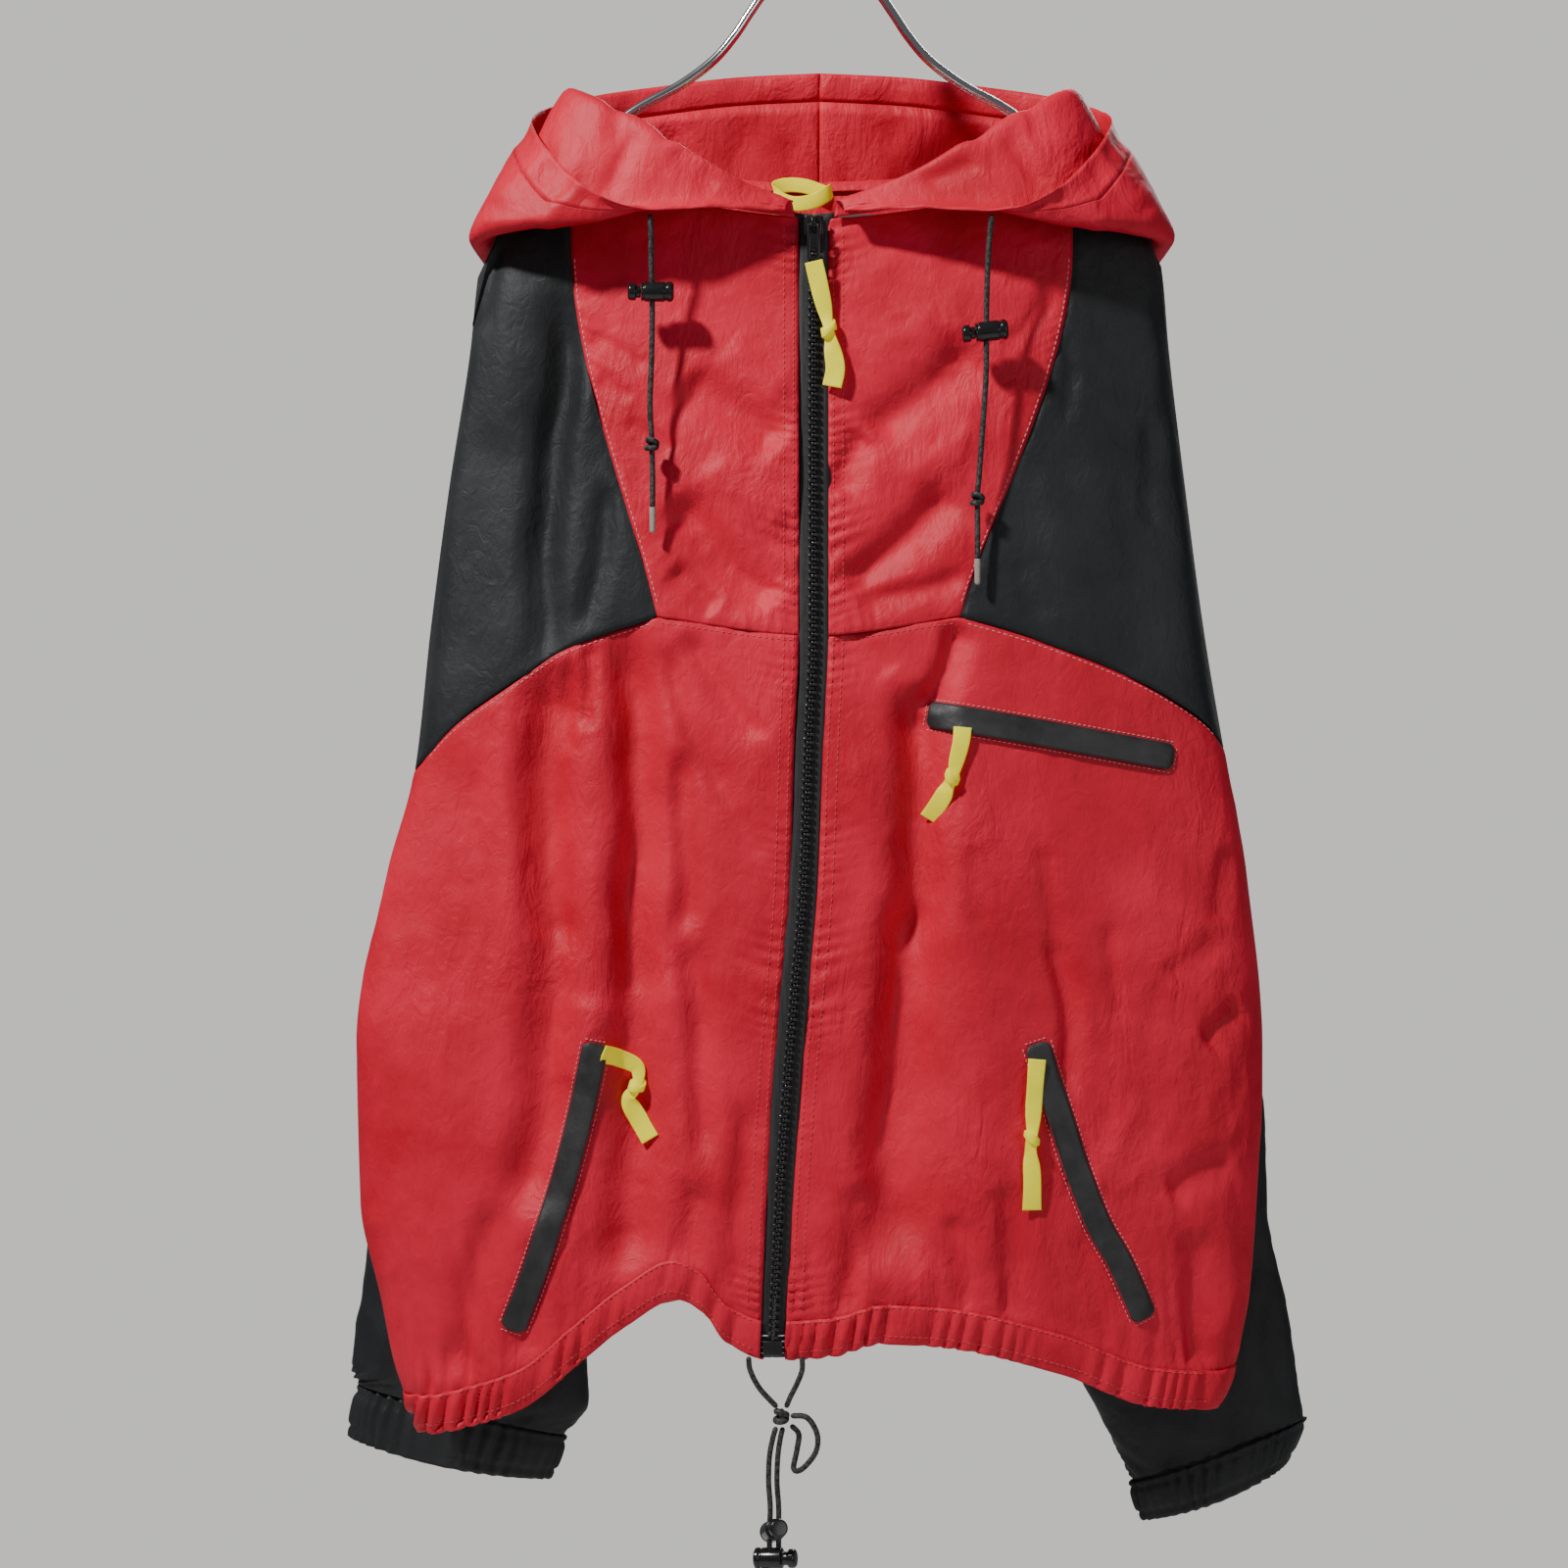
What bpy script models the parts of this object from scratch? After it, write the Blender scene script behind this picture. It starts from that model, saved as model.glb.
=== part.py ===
"""A nylon windbreaker hanging on a chrome wire hanger.

The origin is the top of the hanger's hook, on the inside. +Z is up and the
jacket's front faces -Y. Left and right are the wearer's, so right is -X.
Tables are in millimetres; MM turns them into metres. Each table names its
columns above its rows.
"""
import math

import bpy
import bmesh
from mathutils import Vector
from mathutils.bvhtree import BVHTree

MM = 0.001
GAP = 0.36            # between sewn pieces, measured across the seam
WALL = 1.2            # thickness of the doubled nylon and its seam allowance
FLATNESS = 2.6        # exponent of the body's flattened oval section
CROWN = 46.0          # how far below the shoulder line the cloth rounds over
TIP = (198, -274)     # shoulder tip, where the wall thins: distance from the middle, height
TUCK = 8.0            # the back's top edge lies this far under the sleeve
CASING = 22.0         # height of the hem's drawcord casing
SIDE_WRAP = 14.0      # how far the fronts reach round to the side seam
RIM_BAND = 20.0       # width of the hood's drawcord casing
FOLD_HALF = 6.0       # half width of the hood's rolled folds
HEM_GAP = 0.9         # the gathered casing's clearance, whose edge waves
HEM_PLEAT = 12.0      # spacing of the gathers along the hem
HEM_PLEAT_DEPTH = 1.5
CUFF_PLEATS = 18      # gathers round one cuff
CUFF_PLEAT_DEPTH = 1.6
TAPE_TOP = 8.6        # half width of the zip's tapes at the chest
TAPE_HEM = 7.0        # and at the hem
CHAIN = 2.8           # half width of the closed teeth
WIRE = 2.4            # radius of the hanger's wire
CORD = 3.6            # diameter of the drawcords

RED = (0.62, 0.035, 0.055, 1.0)
CHARCOAL = (0.028, 0.031, 0.034, 1.0)
BLACK = (0.012, 0.012, 0.013, 1.0)
YELLOW = (0.93, 0.80, 0.03, 1.0)
CHROME = (0.75, 0.75, 0.76, 1.0)
CORD_BLACK = (0.02, 0.02, 0.022, 1.0)
CLEAR_TIP = (0.35, 0.30, 0.26, 1.0)

# Body section by height: height, right edge, left edge, depth to the front, to the back
SECTIONS = [
    (-225, -185, 185, 20, 19),
    (-262, -192, 192, 24, 22),
    (-283, -202, 203, 25, 23),
    (-297, -209, 208, 26, 24),
    (-351, -215, 213, 29, 25),
    (-435, -228, 223, 33, 27),
    (-519, -239, 234, 38, 29),
    (-608, -249, 249, 43, 31),
    (-668, -265, 260, 46, 33),
    (-777, -284, 270, 49, 35),
    (-871, -282, 266, 50, 36),
    (-927, -270, 262, 47, 35),
    (-973, -260, 252, 42, 33),
    (-1012, -244, 240, 38, 30),
]
# Cloth line over the hanger's arm, both sides alike: distance from the middle, height
RIDGE = [(40, -120), (86, -180), (120, -201), (150, -221), (175, -243), (190, -261), (203, -284), (215, -320)]
# Zip centre line: height, x
ZIP_LINE = [(-270, -5), (-519, -5), (-591, -8), (-675, -11), (-735, -16), (-795, -21),
            (-855, -25), (-915, -28), (-962, -30)]
# Neck seam, both sides alike: distance from the middle, front height, back height
NECK = [(0, -274, -251), (55, -268, -250), (95, -258, -246), (128, -243, -238), (152, -228, -227)]
# Raglan seam: height, right x, left x
RAGLAN = [(-215, -153, 153), (-292, -152, 152), (-515, -99, 83)]
# Yoke seam between the raglan seams: x, height
YOKE = [(-99, -515), (-5, -526), (83, -515)]
# Armhole seam outside the raglan seams, both sides: x, height
ARMHOLE_RIGHT = [(-249, -608), (-223, -581), (-192, -559), (-154, -534), (-99, -515)]
ARMHOLE_LEFT = [(83, -515), (121, -526), (155, -538), (189, -552), (214, -565), (236, -580), (249, -598)]
# Lower edge of the hem: x, front height, back height
HEM = [
    (-262, -1008, -1006), (-240, -1007, -1003), (-213, -1000, -990), (-181, -988, -972), (-150, -962, -953),
    (-119, -937, -941), (-89, -921, -934), (-73, -928, -932), (-57, -948, -932), (-30, -958, -933),
    (5, -956, -936), (37, -948, -940), (73, -950, -945), (145, -967, -962), (200, -988, -983),
    (240, -992, -990), (262, -990, -990),
]
# Long soft folds of the front: x at top, top, x at foot, foot, width, height of the ridge
FRONT_FOLDS = [
    (-128, -530, -170, -960, 24, 3.2),
    (-80, -540, -112, -900, 22, -3.0),
    (40, -540, 62, -930, 22, -3.0),
    (82, -620, 104, -960, 22, 3.0),
    (-215, -640, -228, -960, 24, 3.0),
    (-170, -300, -150, -520, 20, -2.4),
    (172, -300, 190, -560, 20, -2.4),
    (-100, -300, -30, -470, 22, 2.4),
    (95, -300, 25, -470, 22, 2.4),
]
# Long soft folds of the back, in the same columns
BACK_FOLDS = [
    (-60, -530, -90, -930, 24, 3.0),
    (20, -530, 10, -930, 24, -3.0),
    (78, -540, 110, -950, 24, 3.0),
]
# Hanging sleeve below the armhole: outer x, outer height, inner x, inner height, y, half depth
SLEEVE_RIGHT = [
    (-249, -608, -99, -515, 36, 6),
    (-256, -660, -106, -600, 58, 15),
    (-264, -730, -114, -690, 61, 17),
    (-273, -800, -126, -780, 62, 18),
    (-282, -868, -138, -860, 62, 19),
    (-288, -930, -149, -930, 61, 20),
    (-294, -980, -147, -1002, 60, 20),
    (-290, -993, -161, -1025, 59, 17),
]
SLEEVE_LEFT = [
    (249, -598, 83, -515, 36, 6),
    (257, -660, 92, -600, 58, 15),
    (268, -750, 106, -700, 61, 17),
    (280, -820, 124, -790, 62, 18),
    (284, -884, 142, -880, 62, 19),
    (294, -940, 156, -968, 61, 20),
    (301, -990, 176, -1016, 60, 20),
    (306, -1014, 196, -1054, 59, 17),
]
# Cuff below the sleeve, in the same columns
CUFF_RIGHT = [(-290, -993.8, -161, -1025.8, 59, 17), (-297, -1027, -171, -1053, 59, 15)]
CUFF_LEFT = [(306, -1014.8, 196, -1054.8, 59, 17), (294, -1044, 204, -1079, 59, 15)]

# Hood, right half, from the zip round to the middle of the back. Five points of
# each section: neck seam, crest, inner leg, lower fold, rim; x, y, height of each
HOOD_STATIONS = [
    ((-16, -27, -273), (-17, -30, -263), (-19, -35, -264), (-21, -38, -268), (-22, -39, -272)),
    ((-55, -27, -267), (-52, -32, -250), (-56, -39, -257), (-59, -42, -266), (-61, -49, -272)),
    ((-95, -26, -257), (-86, -33, -229), (-93, -41, -248), (-100, -45, -271), (-106, -57, -275)),
    ((-122, -19, -246), (-108, -29, -215), (-122, -40, -246), (-140, -47, -281), (-134, -60, -265)),
    ((-140, -14, -234), (-130, -24, -203), (-150, -35, -239), (-180, -42, -282), (-154, -47, -247)),
    ((-150, -7, -224), (-146, -13, -194), (-172, -17, -231), (-206, -22, -283), (-171, -26, -224)),
    ((-151, 2, -222), (-152, 3, -191), (-181, 3, -236), (-209, 7, -286), (-178, 8, -206)),
    ((-148, 12, -225), (-147, 18, -203), (-168, 32, -250), (-190, 52, -303), (-170, 42, -192)),
    ((-128, 20, -234), (-126, 28, -223), (-134, 48, -266), (-146, 82, -320), (-143, 62, -180)),
    ((-95, 24, -241), (-95, 32, -234), (-98, 54, -280), (-102, 96, -340), (-104, 72, -172)),
    ((-50, 25, -245), (-50, 33, -239), (-52, 57, -290), (-52, 101, -351), (-55, 77, -165)),
    ((-0.2, 25, -246), (-0.2, 33, -241), (-0.2, 58, -294), (-0.2, 102, -356), (-0.2, 78, -162)),
]

def spline(rows, at, column):
    """Smooth value of a table's column where its first column equals at, held flat past the ends."""
    if rows[0][0] > rows[-1][0]:
        rows = rows[::-1]
    at = min(max(at, rows[0][0]), rows[-1][0])
    k = 0
    while k < len(rows) - 2 and at > rows[k + 1][0]:
        k += 1
    x0, x1 = rows[k][0], rows[k + 1][0]
    y0, y1 = rows[k][column], rows[k + 1][column]
    slope = (y1 - y0) / (x1 - x0)

    def bend(i):
        if i <= 0 or i >= len(rows) - 1:
            return slope
        before = (rows[i][column] - rows[i - 1][column]) / (rows[i][0] - rows[i - 1][0])
        after = (rows[i + 1][column] - rows[i][column]) / (rows[i + 1][0] - rows[i][0])
        return 0.0 if before * after <= 0 else 2 * before * after / (before + after)

    m0, m1 = bend(k), bend(k + 1)
    width = x1 - x0
    t = (at - x0) / width
    return ((2 * t ** 3 - 3 * t ** 2 + 1) * y0 + (t ** 3 - 2 * t ** 2 + t) * width * m0
            + (3 * t ** 2 - 2 * t ** 3) * y1 + (t ** 3 - t ** 2) * width * m1)


def mix(a, b, t):
    return a + (b - a) * t


def flowing(points, count):
    """count points evenly placed along one smooth curve through the given points."""
    points = [Vector(p) for p in points]
    dense = []
    for i in range(len(points) - 1):
        p0 = points[i - 1] if i else points[0] * 2 - points[1]
        p3 = points[i + 2] if i + 2 < len(points) else points[-1] * 2 - points[-2]
        p1, p2 = points[i], points[i + 1]
        for s in range(24):
            t = s / 24
            dense.append(0.5 * (2 * p1 + (p2 - p0) * t + (2 * p0 - 5 * p1 + 4 * p2 - p3) * t ** 2
                                + (3 * p1 - p0 - 3 * p2 + p3) * t ** 3))
    dense.append(points[-1])
    reach = [0.0]
    for a, b in zip(dense, dense[1:]):
        reach.append(reach[-1] + (b - a).length)
    out, k = [], 0
    for n in range(count):
        goal = reach[-1] * n / (count - 1)
        while k < len(reach) - 2 and reach[k + 1] < goal:
            k += 1
        step = max(reach[k + 1] - reach[k], 1e-9)
        out.append(dense[k].lerp(dense[k + 1], min(max((goal - reach[k]) / step, 0.0), 1.0)))
    return out


# ---------------------------------------------------------------- the body's surface

def section(z):
    left, right = spline(SECTIONS, z, 1), spline(SECTIONS, z, 2)
    return (left + right) / 2, (right - left) / 2, spline(SECTIONS, z, 3), spline(SECTIONS, z, 4)


def fold_height(x, z, side):
    """How far the long folds push the cloth out at a place on the front (-1) or the back (+1)."""
    total = 0.0
    for x_top, top, x_foot, foot, width, height in (FRONT_FOLDS if side < 0 else BACK_FOLDS):
        along = (top - z) / (top - foot)
        if 0 < along < 1:
            across = (x - mix(x_top, x_foot, along)) / width
            total += height * math.sin(math.pi * along) * math.exp(-across * across)
    return total


def body_point(x, z, side, out=0.0):
    """Outer and inner point of the body's cloth at x and z, moved out by a distance."""
    centre, half, front, back = section(z)
    depth = front if side < 0 else back
    s = min(max((x - centre) / half, -1.0), 1.0)
    c = max(1 - abs(s) ** FLATNESS, 0.0) ** (1 / FLATNESS)
    q = min(max((spline(RIDGE, abs(x), 1) - z) / CROWN, 0.0), 1.0)
    m = math.sqrt(1 - (1 - q) ** 2)
    sign = 1 if s >= 0 else -1
    normal = Vector((depth * m * m * abs(s) ** (FLATNESS - 1) * sign / half,
                     side * c ** (FLATNESS - 1) * m,
                     depth * c ** FLATNESS * (1 - q) / CROWN))
    if normal.length < 1e-9:
        normal = Vector((sign, 0, 1))
    normal.normalize()
    y = side * (depth * c * m + fold_height(x, z, side) * c * m)
    point = Vector((x, y, z)) + normal * out
    from_tip = math.hypot(abs(x) - TIP[0], z - TIP[1])
    return point, point - normal * WALL * min(1.0, 0.2 + from_tip / 24)


def edge_x(z, hand):
    return spline(SECTIONS, z, 1 if hand < 0 else 2)


def raglan_x(z, hand):
    return spline(RAGLAN, z, 1 if hand < 0 else 2)


def zip_x(z):
    return spline(ZIP_LINE, z, 1)


def tape_half(z):
    along = min(max((z + 519) / (-962 + 519), 0), 1)
    return mix(TAPE_TOP, TAPE_HEM, along)


def hem_z(x, side):
    return spline(HEM, x, 1 if side < 0 else 2)


def neck_z(x, side):
    return spline(NECK, abs(x), 1 if side < 0 else 2)


def armhole_z(x, hand):
    return spline(ARMHOLE_RIGHT if hand < 0 else ARMHOLE_LEFT, x, 1)


def seam_z(x, hand):
    """Height of the yoke seam, and outside the raglan seam of the armhole seam."""
    corner = ARMHOLE_RIGHT[-1][0] if hand < 0 else ARMHOLE_LEFT[0][0]
    return spline(YOKE, x, 1) if abs(x) < abs(corner) else armhole_z(x, hand)


# ---------------------------------------------------------------- making objects

def finish(name, mesh, colour, roughness, metallic=0.0, smooth=True):
    """Wrap a mesh as a named object with its own material."""
    finish_of = bpy.data.materials.new(name + "_finish")
    finish_of.use_nodes = True
    shader = finish_of.node_tree.nodes["Principled BSDF"]
    shader.inputs["Base Color"].default_value = colour
    shader.inputs["Roughness"].default_value = roughness
    shader.inputs["Metallic"].default_value = metallic
    mesh.materials.append(finish_of)
    if smooth:
        mesh.shade_smooth()
        mesh.set_sharp_from_angle(angle=math.radians(50))
    piece = bpy.data.objects.new(name, mesh)
    bpy.context.collection.objects.link(piece)
    return piece


def solid(name, points, faces, colour, roughness, metallic=0.0, smooth=True):
    """One closed body from points in millimetres and faces, turned to face out."""
    mesh = bpy.data.meshes.new(name)
    mesh.from_pydata([tuple(p * MM for p in point) for point in points], [], faces)
    bm = bmesh.new()
    bm.from_mesh(mesh)
    bmesh.ops.recalc_face_normals(bm, faces=bm.faces)
    if bm.calc_volume(signed=True) < 0:
        bmesh.ops.reverse_faces(bm, faces=bm.faces)
    bm.to_mesh(mesh)
    bm.free()
    return finish(name, mesh, colour, roughness, metallic, smooth)


def wall(name, grids, colour, roughness=0.45):
    """A cloth wall from grids of (outer, inner) points; grids that share points are joined."""
    number, outer, inner, faces = {}, [], [], []

    def index(pair):
        key = tuple(round(v, 4) for v in pair[0])
        if key not in number:
            number[key] = len(outer)
            outer.append(pair[0])
            inner.append(pair[1])
        return number[key]

    for grid in grids:
        for row, below in zip(grid, grid[1:]):
            for a, b, c, d in zip(row, row[1:], below[1:], below):
                corners = [index(a), index(b), index(c), index(d)]
                faces += [corners[:3], [corners[0], corners[2], corners[3]]]
    count = len(outer)
    used = {}
    for face in faces:
        for a, b in zip(face, face[1:] + face[:1]):
            used.setdefault(frozenset((a, b)), []).append((a, b))
    rim = [edges[0] for edges in used.values() if len(edges) == 1]
    skins = faces + [[i + count for i in reversed(face)] for face in faces]
    return solid(name, outer + inner, skins + [[b, a, a + count, b + count] for a, b in rim],
                 colour, roughness)


def patch(span, top, bottom, columns, rows, side, out=0.0):
    """Grid of body points; span(u, z) gives x, and top and bottom give heights from x."""
    grid = []
    for j in range(rows + 1):
        row = []
        for i in range(columns + 1):
            u = i / columns
            high = low = -500.0
            for _ in range(12):
                high = top(span(u, high))
                low = bottom(span(u, low))
            z = mix(high, low, j / rows)
            row.append(body_point(span(u, z), z, side, out))
        grid.append(row)
    return grid


def eased(u):
    """Fractions that crowd towards both ends, for a span that ends at the side edge."""
    return (1 - math.cos(math.pi * u)) / 2


# ---------------------------------------------------------------- red panels

def make_front_panels():
    """Chest panel and lower front on each side of the zip."""
    for hand, word in ((-1, "right"), (1, "left")):
        def beside_zip(z):
            return zip_x(z) + hand * (tape_half(z) + GAP)

        def chest_span(u, z):
            return mix(beside_zip(z), raglan_x(z, hand) - hand * GAP, u)

        chest = patch(chest_span, lambda x: neck_z(x, -1), lambda x: seam_z(x, hand) + GAP / 2, 7, 8, -1)
        wall("chest_" + word, [chest], RED)

        corner = raglan_x(-515, hand)

        def inner_span(u, z):
            return mix(beside_zip(z), corner, u)

        def outer_span(u, z):
            return mix(corner, edge_x(z, hand), eased(u))

        def wrap_span(u, z):
            return edge_x(z, hand) - hand * SIDE_WRAP * u * u

        def top(x):
            return seam_z(x, hand) - GAP / 2

        def foot(x):
            return hem_z(x, -1) + CASING + HEM_GAP

        def tucked(x):
            return armhole_z(x, hand) - TUCK

        inner = patch(inner_span, top, foot, 6, 11, -1)
        outer = patch(outer_span, top, foot, 8, 11, -1)
        wrap = patch(wrap_span, tucked, lambda x: hem_z(x, 1) + CASING + HEM_GAP, 2, 11, 1)
        for j, row in enumerate(wrap):
            row[0] = outer[j][-1]
        wall("front_" + word, [inner, outer, wrap], RED)


def make_back_panels():
    """Back yoke between the raglan seams, and the back below it."""
    def yoke_span(u, z):
        return mix(raglan_x(z, -1) + 2 * GAP, raglan_x(z, 1) - 2 * GAP, u)

    def yoke_z(x):
        return spline(YOKE, x, 1)

    wall("back_yoke", [patch(yoke_span, lambda x: neck_z(x, 1), lambda x: yoke_z(x) + GAP / 2, 8, 7, 1)], RED)

    def seam_x(z, hand):
        return edge_x(z, hand) - hand * (SIDE_WRAP + 2 * GAP)

    corners = (ARMHOLE_RIGHT[-1][0] + TUCK, ARMHOLE_LEFT[0][0] - TUCK)

    def foot(x):
        return hem_z(x, 1) + CASING + HEM_GAP

    right = patch(lambda u, z: mix(seam_x(z, -1), corners[0], u),
                  lambda x: armhole_z(x, -1) - TUCK, foot, 6, 10, 1)
    middle = patch(lambda u, z: mix(corners[0], corners[1], u), lambda x: yoke_z(x) - GAP / 2, foot, 8, 10, 1)
    left = patch(lambda u, z: mix(corners[1], seam_x(z, 1), u),
                 lambda x: armhole_z(x, 1) - TUCK, foot, 6, 10, 1)
    for j in range(len(middle)):
        right[j][-1] = middle[j][0]
        left[j][0] = middle[j][-1]
    wall("back", [right, middle, left], RED)


def gathered_band(name, span, low, height, width, side, wrap=None):
    """A hem casing whose cloth rises and falls in small gathers along its length."""
    columns = int(width / HEM_PLEAT) * 2
    grid = [[], []]
    for i in range(columns + 1):
        u = i / columns
        ripple = HEM_PLEAT_DEPTH * (-1) ** i * (0.8 + 0.4 * math.sin(0.37 * i))
        for level, row in enumerate(grid):
            z = -950.0
            for _ in range(12):
                z = low(span(u, z)) + height * (1 - level)
            swell = 1.0 + ripple * (0.5, 1.0)[level]
            row.append(body_point(span(u, z), z, side, swell))
    if wrap:
        for level, row in enumerate(grid):
            for step in range(1, 4):
                z = wrap[1](row[-1][0][0]) + height * (1 - level)
                z = mix(row[-1][0][2], z, 0.5)
                row.append(body_point(wrap[0](step / 3, z), z, 1))
    wall(name, [grid], RED)


def make_hem():
    for hand, word in ((-1, "right"), (1, "left")):
        def span(u, z):
            return mix(zip_x(z) + hand * (tape_half(z) + GAP), edge_x(z, hand), 1 - (1 - u) ** 1.4)

        def wrap_span(u, z):
            return edge_x(z, hand) - hand * SIDE_WRAP * u * u

        gathered_band("hem_front_" + word, span, lambda x: hem_z(x, -1), CASING - GAP / 2, 240, -1,
                      (wrap_span, lambda x: hem_z(x, 1)))

    def back_span(u, z):
        inset = SIDE_WRAP + 2 * GAP
        return mix(edge_x(z, -1) + inset, edge_x(z, 1) - inset, u)

    gathered_band("hem_back", back_span, lambda x: hem_z(x, 1), CASING - GAP / 2, 460, 1)


# ---------------------------------------------------------------- sleeves and cuffs

def tube_rings(table, count, first):
    """Rings of a flattened sleeve: first half is the back wall from outer to inner edge, then the front wall."""
    half = 8
    rows = [(k,) + row for k, row in enumerate(table)]
    rings, places = [], []
    for n in range(count + 1):
        w = (len(table) - 1) * (n / count) ** 1.4
        xo, zo, xi, zi, yc, hd = [spline(rows, w, c) for c in range(1, 7)]
        fade = max(1 - w, 0.0) ** 2
        ring = []
        for i in range(2 * half):
            theta = math.pi * i / half
            f = (1 - math.cos(theta)) / 2
            back = i <= half
            here = Vector((mix(xo, xi, f), yc + (hd if back else -hd) * abs(math.sin(theta)) ** 0.8, mix(zo, zi, f)))
            start = first[i] if back else first[2 * half - i]
            straight = Vector((mix(table[0][0], table[0][2], f), 0, mix(table[0][1], table[0][3], f)))
            here.x += (start[0].x - straight.x) * fade
            here.z += (start[0].z - straight.z) * fade
            here.y = mix(here.y, start[1] if back else start[2], fade)
            ring.append(here)
        rings.append(ring)
        places.append(w)
    walls = []
    turned_out = -1 if table[0][0] < table[0][2] else 1
    for n, ring in enumerate(rings):
        row = []
        for i, here in enumerate(ring):
            down = rings[min(n + 1, count)][i] - rings[max(n - 1, 0)][i]
            normal = down.cross(ring[(i + 1) % len(ring)] - ring[i - 1]).normalized() * turned_out
            row.append((here, here - normal * WALL * mix(0.45, 1.0, min(places[n], 1.0))))
        walls.append(row + row[:1])
    return walls


def make_sleeves():
    for hand, word, table in ((-1, "right", SLEEVE_RIGHT), (1, "left", SLEEVE_LEFT)):
        columns, rows = 8, 8
        def span(u, z):
            return mix(edge_x(z, hand), raglan_x(z, hand) + hand * GAP / 2, eased(u))

        def ridge(x):
            return spline(RIDGE, abs(x), 1)

        def seam(x):
            return armhole_z(x, hand) + GAP / 2 + 2.0 * max(0.0, (abs(x) - 236) / 12)

        front = patch(span, ridge, seam, columns, rows, -1)
        back = patch(span, ridge, seam, columns, rows, 1)
        for j, row in enumerate(back):
            grow = 16 * (j / rows) ** 2
            for i in range(columns + 1):
                push = Vector((0, grow * max(math.sin(math.pi * i / columns), 0.0) ** 0.7, 0))
                row[i] = (row[i][0] + push, row[i][1] + push)
            row[0] = front[j][0]
        back[0] = front[0][:]
        last = []
        for i in range(columns + 1):
            place = back[-1][i][0]
            lower, _ = body_point(place.x, place.z, 1, 1.8)
            ends = i in (0, columns)
            last.append((place, place.y, place.y if ends else lower.y))
        tube = tube_rings(table, 10, last)
        for i in range(1, columns):
            facing = tube[0][2 * columns - i][0]
            thin = Vector((0, min(WALL, 0.35 * (back[-1][i][0].y - facing.y)), 0))
            back[-1][i] = (back[-1][i][0], back[-1][i][0] - thin)
            tube[0][2 * columns - i] = (facing, facing + thin)
        back[-1][-1] = (back[-1][-1][0], back[-1][-1][0] + Vector((hand * WALL, 0, 0)))
        tube[0] = back[-1] + tube[0][columns + 1:2 * columns] + [back[-1][0]]
        wall("sleeve_" + word, [front, back, tube], CHARCOAL)


def make_cuffs():
    """Gathered elastic casing at the end of each sleeve."""
    for word, table in (("right", CUFF_RIGHT), ("left", CUFF_LEFT)):
        around = CUFF_PLEATS * 2
        grid = []
        for t in (0.0, 1.0):
            xo, zo, xi, zi, yc, hd = [mix(table[0][c], table[1][c], t) for c in range(6)]
            row = []
            for i in range(around):
                theta = 2 * math.pi * i / around
                f = (1 - math.cos(theta)) / 2
                ripple = CUFF_PLEAT_DEPTH * (-1) ** i * mix(0.4, 0.8, t)
                across = Vector((xi - xo, 0, zi - zo)).normalized()
                outward = -across * math.cos(theta) + Vector((0, math.sin(theta), 0))
                sag = -3.5 * math.sin(math.pi * f) * t
                here = Vector((mix(xo, xi, f), yc + hd * math.sin(theta), mix(zo, zi, f) + sag))
                here += outward * ripple
                row.append((here, here - outward.normalized() * WALL))
            grid.append(row + row[:1])
        wall("cuff_" + word, [grid], CHARCOAL)


# ---------------------------------------------------------------- hood

def hood_section(at):
    """The five guiding points of the hood's section at a place from 0, the zip, to 1, the back."""
    place = at * (len(HOOD_STATIONS) - 1)
    k = min(int(place), len(HOOD_STATIONS) - 2)
    t = place - k
    last = len(HOOD_STATIONS) - 1
    points = []
    for column in range(5):
        p0, p1, p2, p3 = [Vector(HOOD_STATIONS[min(max(k + i, 0), last)][column]) for i in (-1, 0, 1, 2)]
        points.append(0.5 * (2 * p1 + (p2 - p0) * t + (2 * p0 - 5 * p1 + 4 * p2 - p3) * t ** 2
                             + (3 * p1 - p0 - 3 * p2 + p3) * t ** 3))
    return points


def blunt(before, fold, after, along):
    """Two points in place of a fold's sharp one, half a fold's width to each side; along runs down the fold."""
    to_before, to_after = before - fold, after - fold
    inward = to_before.normalized() + to_after.normalized()
    width = min(FOLD_HALF, 0.35 * to_before.length, 0.35 * to_after.length) * min(inward.length, 1.0)
    inward.normalize()
    across = along.cross(inward).normalized()
    if across.dot(to_before - to_after) < 0:
        across = -across
    return [fold + across * width + inward * width * 0.5, fold - across * width + inward * width * 0.5]


def hood_guides(at):
    """Guiding points of the section with its sharp folds made blunt."""
    neck, crest, leg, low, rim = hood_section(at)
    before, after = hood_section(max(at - 0.02, 0)), hood_section(min(at + 0.02, 1))
    return ([neck] + blunt(neck, crest, leg, after[1] - before[1]) + [leg]
            + blunt(leg, low, rim, after[3] - before[3]) + [rim])


def along_guides(guides, place):
    """Point of the smooth curve through the guides, where a whole number is a guide."""
    k = min(int(place), len(guides) - 2)
    t = place - k
    p1, p2 = guides[k], guides[k + 1]
    p0 = guides[k - 1] if k else p1 * 2 - p2
    p3 = guides[k + 2] if k + 2 < len(guides) else p2 * 2 - p1
    m1, m2 = (p2 - p0) * 0.4, (p3 - p1) * 0.4
    return ((2 * t ** 3 - 3 * t ** 2 + 1) * p1 + (t ** 3 - 2 * t ** 2 + t) * m1
            + (3 * t ** 2 - 2 * t ** 3) * p2 + (t ** 3 - t ** 2) * m2)


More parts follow.
